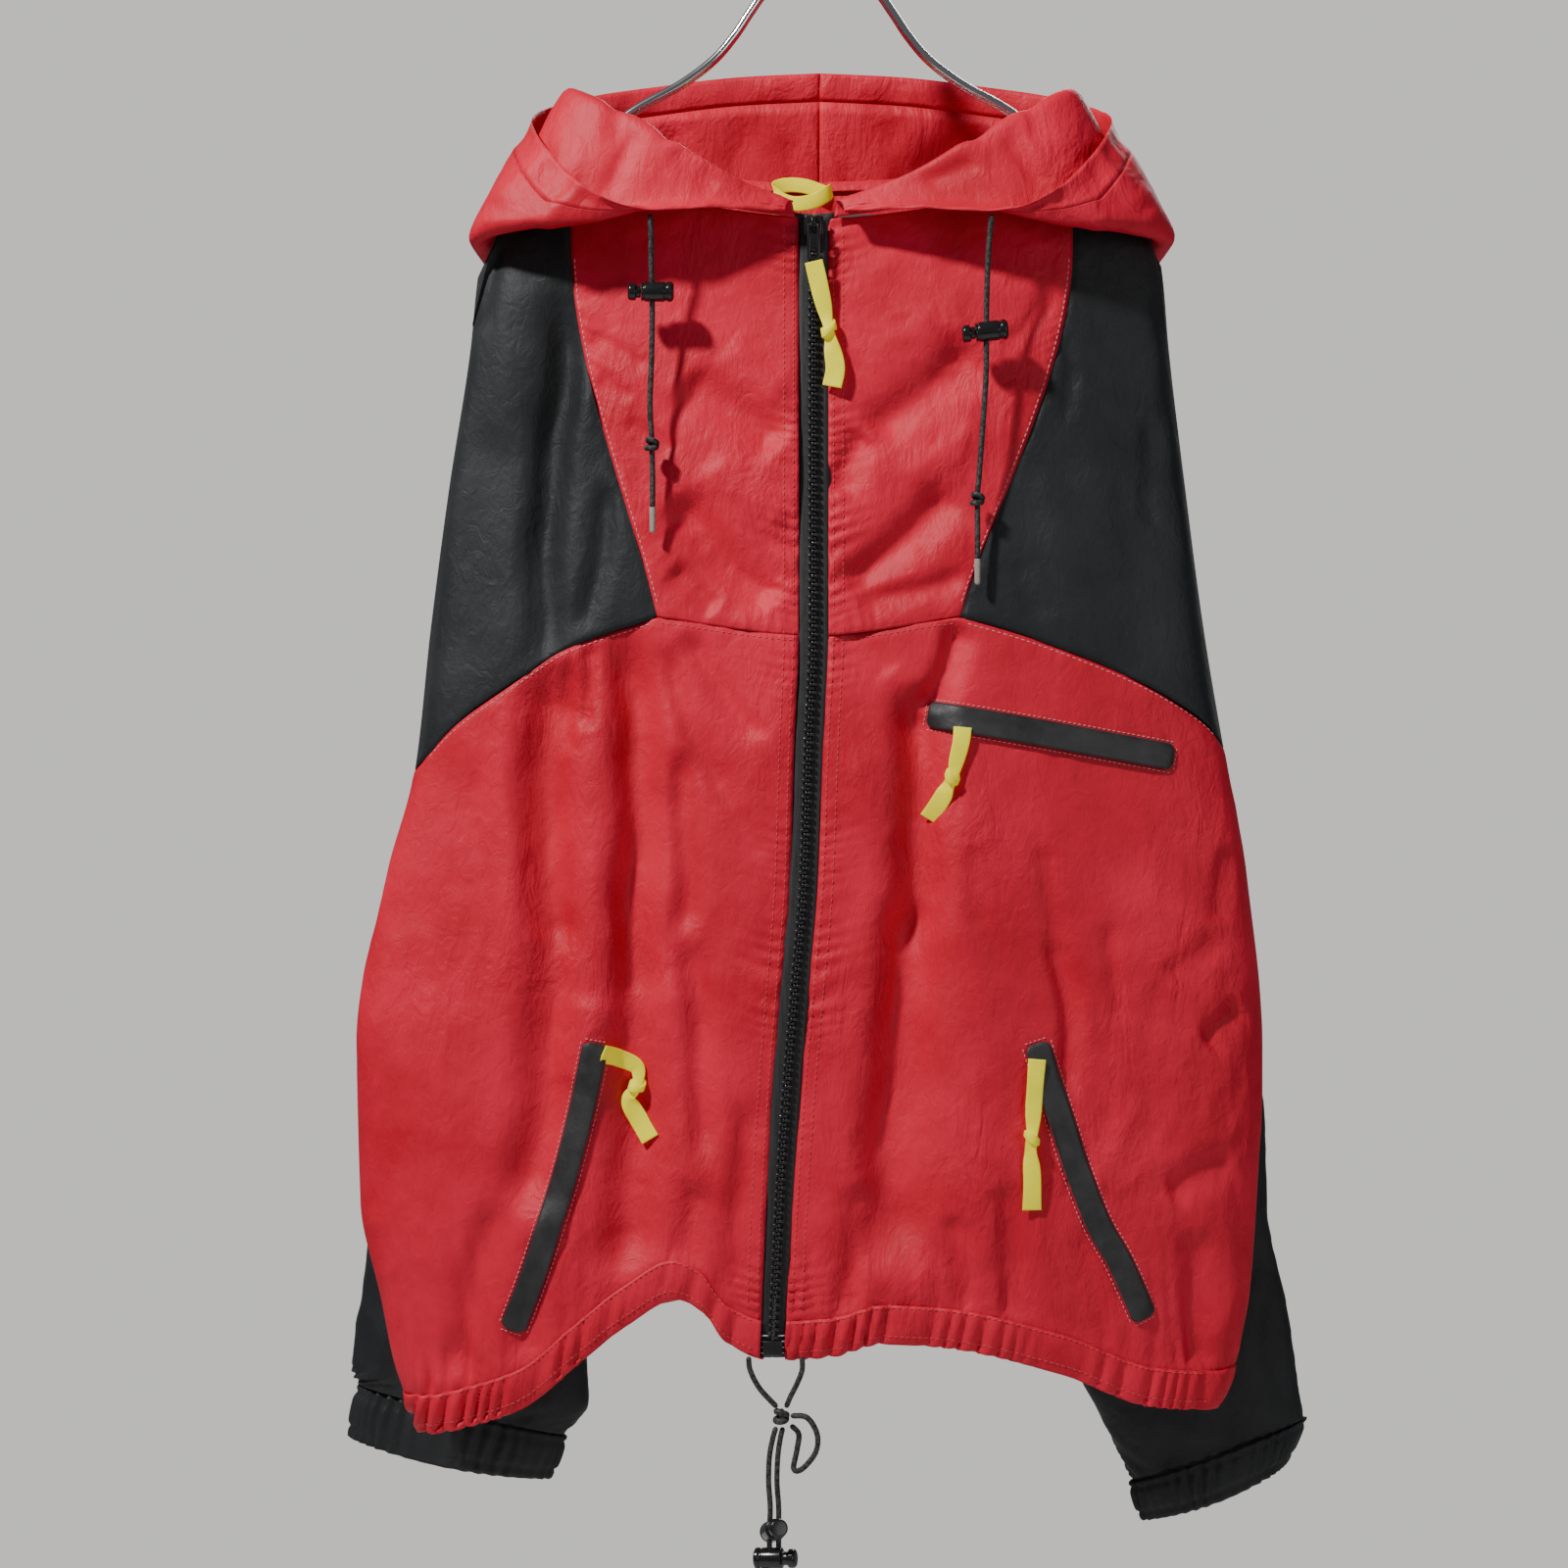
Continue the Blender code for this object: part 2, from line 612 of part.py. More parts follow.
def make_hood():
    """Hood halves that meet at the centre seam, each with its drawcord casing along the rim."""
    around = 22
    surface = []
    for i in range(around + 1):
        guides = hood_guides(i / around)
        last = (guides[-1] - guides[-2]).length
        band = min(RIM_BAND / last, 0.55)
        stops = [0, 0.5, 1, 1.5, 2, 2.5, 3, 3.5, 4, 4.5, 5, 5 + (1 - band) / 2, 6 - band - 2 * GAP / last,
                 6 - band, 6 - band / 2, 6]
        surface.append([along_guides(guides, stop) for stop in stops])
    across, split = len(stops) - 1, len(stops) - 3
    for hand, word in ((-1, "right"), (1, "left")):
        grid = []
        for i in range(around + 1):
            row = []
            for j in range(across + 1):
                ahead = surface[min(i + 1, around)][j] - surface[max(i - 1, 0)][j]
                over = surface[i][min(j + 1, across)] - surface[i][max(j - 1, 0)]
                normal = ahead.cross(over).normalized()
                outer, inner = surface[i][j], surface[i][j] - normal * WALL
                if hand > 0:
                    outer, inner = mirrored(outer), mirrored(inner)
                row.append((outer, inner))
            grid.append(row)
        wall("hood_" + word, [[row[:split] for row in grid]], RED)
        wall("hood_casing_" + word, [[row[split:] for row in grid]], RED)


def mirrored(point):
    """A point of the right half on the left half, moved near the zip, which is off the middle."""
    shift = 10 * max(0.0, 1 + point.x / 120) * min(max(-point.y / 20, 0.0), 1.0)
    return Vector((-point.x - shift, point.y, point.z))


# ---------------------------------------------------------------- zip, pockets and ribbons

# Pocket welts: centre line x and height on the front, and half width
CHEST_WELT = ([(64, -573), (112, -581), (162, -590), (212, -599)], 7.6)
HAND_WELT_RIGHT = ([(-135, -770), (-143, -807), (-152, -843), (-163, -879), (-173, -909), (-186, -943)], 7.2)
HAND_WELT_LEFT = ([(128, -770), (142, -814), (152, -845), (165, -878), (178, -901), (194, -936)], 7.2)
WELT_POINTS = 11
WELT_OFF = 0.5         # gap between a welt and the cloth under it
WELT_THICK = 1.3
RIBBON_POINTS = 17
LOOP_POINTS = 19
# Ribbon pulls: x, height and distance in front of the cloth
ZIP_RIBBON = [(-5, -301, 10), (-1, -318, 7), (2, -331, 5), (4, -341, 5), (6, -352, 5), (8, -365, 5), (6, -376, 4)]
CHEST_RIBBON = [(84, -581, 3.4), (83, -590, 3.6), (80, -602, 4), (78, -610, 4), (72, -623, 3), (64, -636, 1.8)]
HAND_RIBBON_RIGHT = [(-131, -776, 3.4), (-122, -779, 3.4), (-111, -785, 3), (-111, -796, 4), (-116, -804, 4),
                     (-110, -816, 3), (-103, -828, 1.8)]
HAND_RIBBON_LEFT = [(128, -779, 3.4), (127, -792, 3.4), (126, -806, 3), (125, -822, 4), (124, -833, 4), (125, -850, 3),
                    (125, -869, 1.8)]


def front_y(x, z):
    return body_point(x, z, -1)[0].y


def faces_of(name):
    """Tree of a finished panel's faces, for laying other pieces on it."""
    mesh = bpy.data.objects[name].data
    return BVHTree.FromPolygons([v.co / MM for v in mesh.vertices], [list(p.vertices) for p in mesh.polygons])


def lay_on(panel, x, z, off):
    """Point at x and height z, a distance in front of a finished panel."""
    met = panel.ray_cast(Vector((x, -200, z)), Vector((0, 1, 0)))[0]
    return (met if met else body_point(x, z, -1)[0]) - Vector((0, off, 0))


def strip_on_front(name, span, top, bottom, out, thick, columns, rows, colour, roughness):
    """A strip on the front's own points, moved out, with a given thickness."""
    grid = []
    for j in range(rows + 1):
        z = mix(top, bottom, j / rows)
        row = []
        for i in range(columns + 1):
            x = span(i / columns, z)
            row.append((body_point(x, z, -1, out)[0], body_point(x, z, -1, out - thick)[0]))
        grid.append(row)
    return wall(name, [grid], colour, roughness)


def make_zip():
    foot = -957.5
    for hand, word in ((-1, "right"), (1, "left")):
        def span(u, z):
            return zip_x(z) + hand * mix(GAP / 2, tape_half(z), u)

        strip_on_front("zip_tape_" + word, span, -272, foot, 0.0, WALL, 1, 20, BLACK, 0.6)
    strip_on_front("zip_chain", lambda u, z: zip_x(z) + mix(-CHAIN, CHAIN, u),
                   -286, foot + 10, 2.8, 2.0, 2, 20, BLACK, 0.35)
    box("zip_bottom_box", (zip_x(-952), front_y(-30, -952) - 2.0, -952), (11.5, 3.2, 9), BLACK, 0.35)


def box(name, centre, size, colour, roughness, bevel=0.6):
    """A small moulded block with softened edges."""
    mesh = bpy.data.meshes.new(name)
    bm = bmesh.new()
    bmesh.ops.create_cube(bm, size=1.0)
    bmesh.ops.scale(bm, vec=[s * MM for s in size], verts=bm.verts)
    bmesh.ops.bevel(bm, geom=bm.edges[:], offset=bevel * MM, segments=1, affect="EDGES", profile=0.5)
    bmesh.ops.translate(bm, vec=[c * MM for c in centre], verts=bm.verts)
    bm.to_mesh(mesh)
    bm.free()
    return finish(name, mesh, colour, roughness)


def make_slider():
    """Slider body over the top of the teeth and the hard tab that hangs on it."""
    y = front_y(-5, -279)
    box("zip_slider", (-5, y - 5.0, -279), (11.5, 8.4, 13), BLACK, 0.3, 1.6)
    box("zip_pull_tab", (-5, y - 10.75, -289), (8, 2.2, 22), BLACK, 0.3, 0.8)


def make_welts():
    for name, word, (route, half) in (("chest_pocket_welt", "left", CHEST_WELT),
                                      ("hand_pocket_welt_right", "right", HAND_WELT_RIGHT),
                                      ("hand_pocket_welt_left", "left", HAND_WELT_LEFT)):
        panel = faces_of("front_" + word)
        line = flowing([(x, 0, z) for x, z in route], WELT_POINTS)
        grid = []
        for k, here in enumerate(line):
            ahead = (line[min(k + 1, WELT_POINTS - 1)] - line[max(k - 1, 0)]).normalized()
            across = Vector((-ahead.z, 0, ahead.x))
            row = []
            for i in range(3):
                spot = here + across * half * (i - 1)
                row.append((lay_on(panel, spot.x, spot.z, WELT_OFF + WELT_THICK),
                            lay_on(panel, spot.x, spot.z, WELT_OFF)))
            grid.append(row)
        wall(name, [grid], BLACK, 0.5)


def strip_faces(count):
    """Faces of a strip lofted through count four-cornered sections."""
    faces = [[3, 2, 1, 0], [4 * count - 4, 4 * count - 3, 4 * count - 2, 4 * count - 1]]
    for k in range(count - 1):
        for i in range(4):
            a, b = 4 * k + i, 4 * k + (i + 1) % 4
            faces.append([a, b, b + 4, a + 4])
    return faces


def make_ribbon(name, word, route, knot, half=5.4, thick=1.3):
    """A ribbon pull as one lofted strip that gathers into its knot at the given place along it."""
    panel = faces_of("front_" + word) if word else None
    line = flowing([lay_on(panel, x, z, off) if panel else (x, front_y(x, z) - off, z) for x, z, off in route],
                   RIBBON_POINTS)
    points = []
    for k, here in enumerate(line):
        ahead = (line[min(k + 1, RIBBON_POINTS - 1)] - line[max(k - 1, 0)]).normalized()
        across = Vector((0, 1, 0)).cross(ahead).normalized()
        near = math.exp(-((k / (RIBBON_POINTS - 1) - knot) / 0.07) ** 2)
        wide, deep = mix(half, 4.2, near), mix(thick / 2, 3.0, near)
        out = ahead.cross(across)
        for a, b in ((-1, -1), (1, -1), (1, 1), (-1, 1)):
            points.append(here + across * wide * a + out * deep * b)
    faces = strip_faces(RIBBON_POINTS)
    return solid(name, points, faces, YELLOW, 0.55)


def make_ribbons():
    make_ribbon("zip_ribbon", None, ZIP_RIBBON, 0.54)
    make_ribbon("chest_pocket_ribbon", "left", CHEST_RIBBON, 0.5)
    make_ribbon("hand_pocket_ribbon_right", "right", HAND_RIBBON_RIGHT, 0.5)
    make_ribbon("hand_pocket_ribbon_left", "left", HAND_RIBBON_LEFT, 0.52)


def make_hang_loop():
    """Ribbon loop sewn to the back of the neck: an eye lying on its side."""
    route = [(-27, 17.6, -252), (-28, 12, -256), (-20, 9, -259), (-8, 10, -256), (4, 12, -251), (1, 16, -250),
             (-8, 18.2, -251), (-20, 18.2, -251)]
    line = flowing(route, LOOP_POINTS)
    points = []
    for k, here in enumerate(line):
        ahead = (line[min(k + 1, LOOP_POINTS - 1)] - line[max(k - 1, 0)]).normalized()
        across = ahead.cross(Vector((0, 0, 1))).normalized()
        side = across.cross(ahead).normalized()
        for a, b in ((-1, -1), (1, -1), (1, 1), (-1, 1)):
            points.append(here + side * 3.6 * a + across * 0.6 * b)
    solid("hang_loop", points, strip_faces(LOOP_POINTS), YELLOW, 0.55)


# ---------------------------------------------------------------- cords and what is on them

# Routes of the drawcords, each from its exit to its end: x, y, height
HOOD_CORD_RIGHT = [(-102.5, -52.6, -275.9), (-102, -50.6, -290), (-102, -49, -304), (-101.5, -46, -330), (-102, -44, -360),
                   (-103, -43, -388), (-102, -42.5, -408), (-101.5, -42, -430), (-101.5, -42, -450)]
HOOD_CORD_LEFT = [(101, -52.6, -275.9), (99.5, -50.6, -292), (98.5, -49, -312), (98, -47, -339), (98, -45, -370),
                  (96, -44, -402), (94, -43, -430), (93, -43, -441), (93, -43, -462), (93, -43, -481)]
HEM_CORD_RIGHT = [(-44, -47, -957), (-43, -47, -965), (-38, -47, -975), (-31, -47, -983), (-27, -46, -987.2)]
HEM_CORD_LEFT = [(-12, -45.3, -957.5), (-12, -46.6, -965), (-15, -47, -973), (-19, -47, -981), (-21.6, -46, -987.4)]
HEM_LOOP = [(-18.6, -46.6, -992.2), (-9, -49, -993), (-3, -49, -1003), (-4, -48, -1014), (-12, -47, -1024),
            (-17, -46, -1024), (-15, -44, -1013), (-14, -43, -1004), (-18.6, -44.4, -998.4)]
HEM_TAIL_RIGHT = [(-27.5, -46, -999.2), (-29.5, -46, -1006), (-31.5, -46, -1017), (-32, -46, -1032), (-31, -46, -1047),
                  (-31.5, -46, -1061), (-31.5, -46, -1070), (-31.5, -46, -1085), (-36, -46, -1094), (-42, -46, -1099),
                  (-43, -46, -1108)]
HEM_TAIL_LEFT = [(-23.4, -46, -999.4), (-25, -46, -1006), (-26.5, -46, -1017), (-27, -46, -1032), (-26, -46, -1047),
                 (-26, -46, -1061), (-26, -46, -1070), (-26, -46, -1084), (-22, -46, -1091), (-15, -46, -1094), (-8, -46, -1097)]


def tube(name, route, diameter, points, colour, roughness, resolution=2, metallic=0.0):
    """A round cord or wire as a poly curve with a bevel and filled caps."""
    curve = bpy.data.curves.new(name, "CURVE")
    curve.dimensions = "3D"
    curve.bevel_depth = diameter / 2 * MM
    curve.bevel_resolution = resolution
    curve.use_fill_caps = True
    line = flowing(route, points)
    spline_of = curve.splines.new("POLY")
    spline_of.points.add(len(line) - 1)
    for point, here in zip(spline_of.points, line):
        point.co = (here.x * MM, here.y * MM, here.z * MM, 1)
    finish_of = bpy.data.materials.new(name + "_finish")
    finish_of.use_nodes = True
    shader = finish_of.node_tree.nodes["Principled BSDF"]
    shader.inputs["Base Color"].default_value = colour
    shader.inputs["Roughness"].default_value = roughness
    shader.inputs["Metallic"].default_value = metallic
    curve.materials.append(finish_of)
    piece = bpy.data.objects.new(name, curve)
    bpy.context.collection.objects.link(piece)
    return piece


def make_cords():
    tube("hood_cord_right", HOOD_CORD_RIGHT, CORD, 18, CORD_BLACK, 0.7)
    tube("hood_cord_left", HOOD_CORD_LEFT, CORD, 20, CORD_BLACK, 0.7)
    tube("hem_cord_right", HEM_CORD_RIGHT, CORD, 6, CORD_BLACK, 0.7)
    tube("hem_cord_left", HEM_CORD_LEFT, CORD, 6, CORD_BLACK, 0.7)
    tube("hem_cord_loop", HEM_LOOP, CORD, 16, CORD_BLACK, 0.7)
    tube("hem_tail_right", HEM_TAIL_RIGHT, CORD, 14, CORD_BLACK, 0.7)
    tube("hem_tail_left", HEM_TAIL_LEFT, CORD, 14, CORD_BLACK, 0.7)


def turned(name, profile, centre, axis, colour, roughness, sides=10, metallic=0.0, closed=False):
    """A round piece turned from (radius, along) points about an axis through its centre."""
    axis = Vector(axis).normalized()
    turn = axis.to_track_quat("Z", "Y")
    points, faces = [], []
    rings = len(profile)
    for radius, along in profile:
        for k in range(sides):
            angle = 2 * math.pi * k / sides
            points.append(Vector(centre) + turn @ Vector((radius * math.cos(angle), radius * math.sin(angle), along)))
    for r in range(rings if closed else rings - 1):
        for k in range(sides):
            a, b = r * sides + k, r * sides + (k + 1) % sides
            c, d = (r + 1) % rings * sides + (k + 1) % sides, (r + 1) % rings * sides + k
            faces.append([a, b, c, d])
    if not closed:
        faces.append([k for k in reversed(range(sides))])
        faces.append([(rings - 1) * sides + k for k in range(sides)])
    return solid(name, points, faces, colour, roughness, metallic)


def ring_profile(bore, radius, steps=6):
    """Closed profile of a round bead with a bore through it."""
    middle = (bore + radius) / 2
    thick = (radius - bore) / 2
    return [(middle - thick * math.cos(2 * math.pi * k / steps), thick * 1.7 * math.sin(2 * math.pi * k / steps))
            for k in range(steps)]


def bored(piece, places, radius, reach):
    """Cut a vertical cord hole through a piece at each (x, y, z)."""
    for k, place in enumerate(places):
        cutter = turned(piece.name + "_cutter%d" % k, [(radius, -reach), (radius, reach)], place, (0, 0, 1),
                        BLACK, 0.5, 12)
        cutter.hide_render = True
        cutter.display_type = "WIRE"
        cut = piece.modifiers.new("cord_hole%d" % k, "BOOLEAN")
        cut.operation = "DIFFERENCE"
        cut.object = cutter
        cut.solver = "EXACT"


def route_at(route, z):
    line = flowing(route, 120)
    return min(line, key=lambda p: abs(p.z - z))


def make_cord_fittings():
    """Locks, knots and whipped ends of the hood cords, and the knot and locks of the hem cord."""
    hole = CORD / 2 + 0.9
    barrel = [(4.6, -13), (6.0, -11.6), (6.0, 5.6), (5.6, 6.4), (4.4, 6.6)]
    knob = [(3.6, 6.9), (3.6, 9.4), (5.2, 9.8), (5.2, 13.2), (4.4, 14.4)]
    for word, route, z, hand, knot, slant in (("right", HOOD_CORD_RIGHT, -321, -1, -412, 0.0),
                                              ("left", HOOD_CORD_LEFT, -345, -1, -445, -0.12)):
        at = route_at(route, z)
        body = turned("hood_lock_" + word, barrel, at, (hand, 0, slant), BLACK, 0.25)
        bored(body, [at], hole, 9)
        turned("hood_lock_plunger_" + word, knob, at, (hand, 0, slant), BLACK, 0.25)
        at = route_at(route, knot)
        turned("hood_knot_" + word, ring_profile(CORD / 2 + 0.5, 4.8), at, (0, 0, 1), CORD_BLACK, 0.7,
               closed=True)
        end = Vector(route[-1])
        turned("hood_tip_" + word, [(1.6, -0.4), (1.6, -14), (1.2, -14.6)], end, (0, 0, 1), CLEAR_TIP, 0.3, 8)
    turned("hem_knot", [(2.0, -5.8), (4.6, -4.0), (5.4, -0.5), (4.6, 3.4), (2.2, 5.0)], (-24.4, -45.5, -992.8),
           (0.1, 0, 1), CORD_BLACK, 0.7)
    for word, z, axis in (("upper", -1061, (0.25, -1, 0.35)), ("lower", -1077.5, (1, -0.25, 0.06))):
        pair = [route_at(HEM_TAIL_RIGHT, z), route_at(HEM_TAIL_LEFT, z)]
        centre = (pair[0] + pair[1]) / 2
        lock = turned("hem_lock_" + word, [(4.6, -12), (6.4, -11), (6.4, 5), (4.0, 6), (4.0, 9), (5.6, 9.4),
                                           (5.6, 12.6), (4.6, 13.6)], centre, axis, BLACK, 0.25)
        bored(lock, pair, hole, 10)


# ---------------------------------------------------------------- hanger

# Hook from its tip over the top to the collar, and one arm from the collar to the tip: x, height
HOOK = [(-25, -44), (-26.6, -30), (-24.5, -14), (-13, -1.2), (0, 2.6), (13, -1.2), (24.5, -14), (26.6, -30),
        (21, -46), (9, -58), (1.5, -70), (0, -91.6)]
ARM = [(3.4, -114.9), (5, -117.5), (18, -121), (33, -129), (43, -142), (53, -157), (66, -172), (86, -187),
       (119, -206.2), (147, -233.7), (162, -256), (169, -268), (167, -274), (158, -275), (130, -273)]
WIRE_SPREAD = 3.0     # each of the two wires stands this far from the middle


def make_hanger():
    tube("hanger_hook", [(x, 0, z) for x, z in HOOK], 2 * WIRE, 26, CHROME, 0.1, 2, 1.0)
    turned("hanger_collar", [(6.6, -92), (8.2, -93), (8.2, -111), (7.4, -112)], (0, 0, 0), (0, 0, 1), CHROME, 0.12,
           16, 1.0)
    for word, y in (("front", -WIRE_SPREAD), ("back", WIRE_SPREAD)):
        right = [(-x, y, z) for x, z in ARM]
        left = [(x, y, z) for x, z in reversed(ARM)]
        tube("hanger_wire_" + word, right + [(-70, y, -270), (0, y, -269), (70, y, -270)] + left, 2 * WIRE, 42,
             CHROME, 0.1, 2, 1.0)


def clear_scene():
    for piece in list(bpy.data.objects):
        bpy.data.objects.remove(piece, do_unlink=True)


def build():
    clear_scene()
    make_hanger()
    make_front_panels()
    make_back_panels()
    make_hem()
    make_sleeves()
    make_cuffs()
    make_hood()
    make_zip()
    make_slider()
    make_welts()
    make_ribbons()
    make_hang_loop()
    make_cords()
    make_cord_fittings()


build()
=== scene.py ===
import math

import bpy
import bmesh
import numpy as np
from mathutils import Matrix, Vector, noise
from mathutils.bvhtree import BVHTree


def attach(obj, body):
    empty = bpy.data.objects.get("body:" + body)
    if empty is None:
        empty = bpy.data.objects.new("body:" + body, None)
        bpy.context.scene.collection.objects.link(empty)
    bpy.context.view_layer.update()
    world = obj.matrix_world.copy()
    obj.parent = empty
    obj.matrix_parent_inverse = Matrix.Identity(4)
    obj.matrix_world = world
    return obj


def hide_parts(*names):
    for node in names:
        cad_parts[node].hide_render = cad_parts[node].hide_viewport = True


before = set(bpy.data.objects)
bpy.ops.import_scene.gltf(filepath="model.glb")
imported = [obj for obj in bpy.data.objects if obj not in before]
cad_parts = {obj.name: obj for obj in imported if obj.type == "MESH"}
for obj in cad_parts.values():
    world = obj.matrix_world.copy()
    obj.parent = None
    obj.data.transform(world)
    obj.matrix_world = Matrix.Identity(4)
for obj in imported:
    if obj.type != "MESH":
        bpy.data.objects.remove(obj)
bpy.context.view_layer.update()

# %% [markdown]
# # A nylon jacket on a wire hanger
# The jacket is one layer of thin, crinkled nylon, cut in panels and sewn. It hangs
# from a chrome wire hanger, so its own weight draws every fold. The solids that came
# in with the frame give each piece its place; the cells below make what shows on top
# of them. Everything is in metres in Blender, but the tables are in millimetres,
# because that is how a cutter thinks; MM turns one into the other.

MM = 0.001

# %% [markdown]
# ## The camera
# The picture was taken square on, at about the height of the chest, from far enough
# away that the sleeves don't look larger than the body. A long lens does the same:
# the distance and the width of what shows give its focal length by similar triangles.

# %% Camera square on to the front
PIXEL = 0.60                      # millimetres of jacket in one pixel of the picture
PICTURE = 1600                    # pixels across
SENSOR = 36.0                     # width of the camera's sensor
DISTANCE = 1900.0                 # from the lens to the middle of the jacket
camera_data = bpy.data.cameras.new("front_camera")
camera_data.sensor_width = SENSOR
camera_data.lens = SENSOR * DISTANCE / (PIXEL * PICTURE)
camera = bpy.data.objects.new("front_camera", camera_data)
bpy.context.collection.objects.link(camera)
camera.location = (-22.8 * MM, -DISTANCE * MM, -615 * MM)
camera.rotation_euler = (math.pi / 2, 0, 0)
bpy.context.scene.camera = camera
print("lens", round(camera_data.lens, 1), "mm")

# %% [markdown]
# ## Smooth lines through a few points
# Cords, ribbons and seams are all lines that bend softly. A Catmull-Rom curve goes
# through every point it is given, so a short table of places is enough. The points
# are then spaced evenly, because a braid or a row of stitches needs even steps.

# %% Lines and tables
CURVE_STEPS = 24                  # points worked out between two given ones


def mix(a, b, t):
    return a + (b - a) * t


def curve_point(p0, p1, p2, p3, t):
    """Point of a Catmull-Rom curve between p1 and p2."""
    return 0.5 * (2 * p1 + (p2 - p0) * t + (2 * p0 - 5 * p1 + 4 * p2 - p3) * t ** 2
                  + (3 * p1 - p0 - 3 * p2 + p3) * t ** 3)


def flowing(points, count):
    """count points evenly placed along one smooth curve through the given points."""
    points = [Vector(p) for p in points]
    dense = []
    for i in range(len(points) - 1):
        p0 = points[i - 1] if i else points[0] * 2 - points[1]
        p3 = points[i + 2] if i + 2 < len(points) else points[-1] * 2 - points[-2]
        for step in range(CURVE_STEPS):
            dense.append(curve_point(p0, points[i], points[i + 1], p3, step / CURVE_STEPS))
    dense.append(points[-1])
    reach = [0.0]
    for a, b in zip(dense, dense[1:]):
        reach.append(reach[-1] + (b - a).length)
    out, k = [], 0
    for n in range(count):
        goal = reach[-1] * n / (count - 1)
        while k < len(reach) - 2 and reach[k + 1] < goal:
            k += 1
        step = max(reach[k + 1] - reach[k], 1e-9)
        out.append(dense[k].lerp(dense[k + 1], min(max((goal - reach[k]) / step, 0.0), 1.0)))
    return out


def length_of(line):
    return sum((b - a).length for a, b in zip(line, line[1:]))


def spline(rows, at, column):
    """Smooth value of a table's column where its first column equals at, held flat past the ends."""
    if rows[0][0] > rows[-1][0]:
        rows = rows[::-1]
    at = min(max(at, rows[0][0]), rows[-1][0])
    k = 0
    while k < len(rows) - 2 and at > rows[k + 1][0]:
        k += 1
    x0, x1 = rows[k][0], rows[k + 1][0]
    y0, y1 = rows[k][column], rows[k + 1][column]
    slope = (y1 - y0) / (x1 - x0)

    def bend(i):
        if i <= 0 or i >= len(rows) - 1:
            return slope
        before = (rows[i][column] - rows[i - 1][column]) / (rows[i][0] - rows[i - 1][0])
        after = (rows[i + 1][column] - rows[i][column]) / (rows[i + 1][0] - rows[i][0])
        return 0.0 if before * after <= 0 else 2 * before * after / (before + after)

    m0, m1 = bend(k), bend(k + 1)
    width = x1 - x0
    t = (at - x0) / width
    return ((2 * t ** 3 - 3 * t ** 2 + 1) * y0 + (t ** 3 - 2 * t ** 2 + t) * width * m0
            + (3 * t ** 2 - 2 * t ** 3) * y1 + (t ** 3 - t ** 2) * width * m1)


# %% [markdown]
# ## Making a piece
# Every piece ends the same way: its points become a mesh, the mesh gets a finish, the piece
# is hung from the body that carries it, and the plain solids that it stands for are hidden.
# One small function keeps those steps in one place.

# %% From points to a piece of the jacket
def finish_piece(name, mesh, finish, body="jacket", nodes=(), slot=None):
    mesh.materials.append(finish)
    mesh.shade_smooth()
    piece = bpy.data.objects.new(name, mesh)
    bpy.context.collection.objects.link(piece)
    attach(piece, body)
    if nodes:
        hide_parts(*nodes)
    return piece


def mesh_of(name, points, faces):
    """Mesh from points in millimetres."""
    mesh = bpy.data.meshes.new(name)
    mesh.from_pydata([(p[0] * MM, p[1] * MM, p[2] * MM) for p in points], [], faces)
    mesh.validate()
    return mesh


def shaped(name, shape, finish, **where):
    """A piece straight from its (points, faces)."""
    return finish_piece(name, mesh_of(name, *shape), finish, **where)


def tube_faces(rings, sides, first=0):
    """Faces of a closed tube of rings of points, with a cap at each end."""
    faces = []
    for k in range(rings - 1):
        for i in range(sides):
            a, b = first + k * sides + i, first + k * sides + (i + 1) % sides
            faces.append([a, b, b + sides, a + sides])
    end = first + (rings - 1) * sides
    return faces + [[first + i for i in reversed(range(sides))], [end + i for i in range(sides)]]


def heading(line, k):
    """Direction of a line of points at its point k."""
    return (line[min(k + 1, len(line) - 1)] - line[max(k - 1, 0)]).normalized()


def squared(value, power):
    """A sine or cosine drawn out towards a square wave by a power below 1."""
    return math.copysign(abs(value) ** power, value)


def frames_along(line):
    """Position, direction and two side directions at each point, carried along without twisting."""
    out, side = [], None
    for k, here in enumerate(line):
        ahead = heading(line, k)
        if side is None:
            side = ahead.orthogonal().normalized()
        side = (side - ahead * side.dot(ahead)).normalized()
        out.append((here, ahead, side, ahead.cross(side)))
    return out


# %% [markdown]
# ## Finishes
# A finish is a small tree of nodes. The colour varies a little over the cloth, as dye
# and light wear do, and two layers of bump stand for what is too fine to model: the
# weave, and the hair-thin crazing that thin nylon keeps after it has been crumpled.

# %% A finish with uneven colour and fine relief
def new_finish(name, colour, roughness, metallic=0.0, sheen=0.0, coat=0.0):
    finish = bpy.data.materials.new(name)
    finish.use_nodes = True
    tree = finish.node_tree
    shader = tree.nodes["Principled BSDF"]
    shader.inputs["Base Color"].default_value = (*colour, 1)
    shader.inputs["Roughness"].default_value = roughness
    shader.inputs["Metallic"].default_value = metallic
    shader.inputs["Sheen Weight"].default_value = sheen
    shader.inputs["Sheen Roughness"].default_value = 0.35
    shader.inputs["Coat Weight"].default_value = coat
    return finish, tree, shader


def texture(tree, kind, place, **values):
    node = tree.nodes.new(kind)
    tree.links.new(place, node.inputs["Vector"])
    for socket, value in values.items():
        node.inputs[socket.replace("_", " ")].default_value = value
    return node


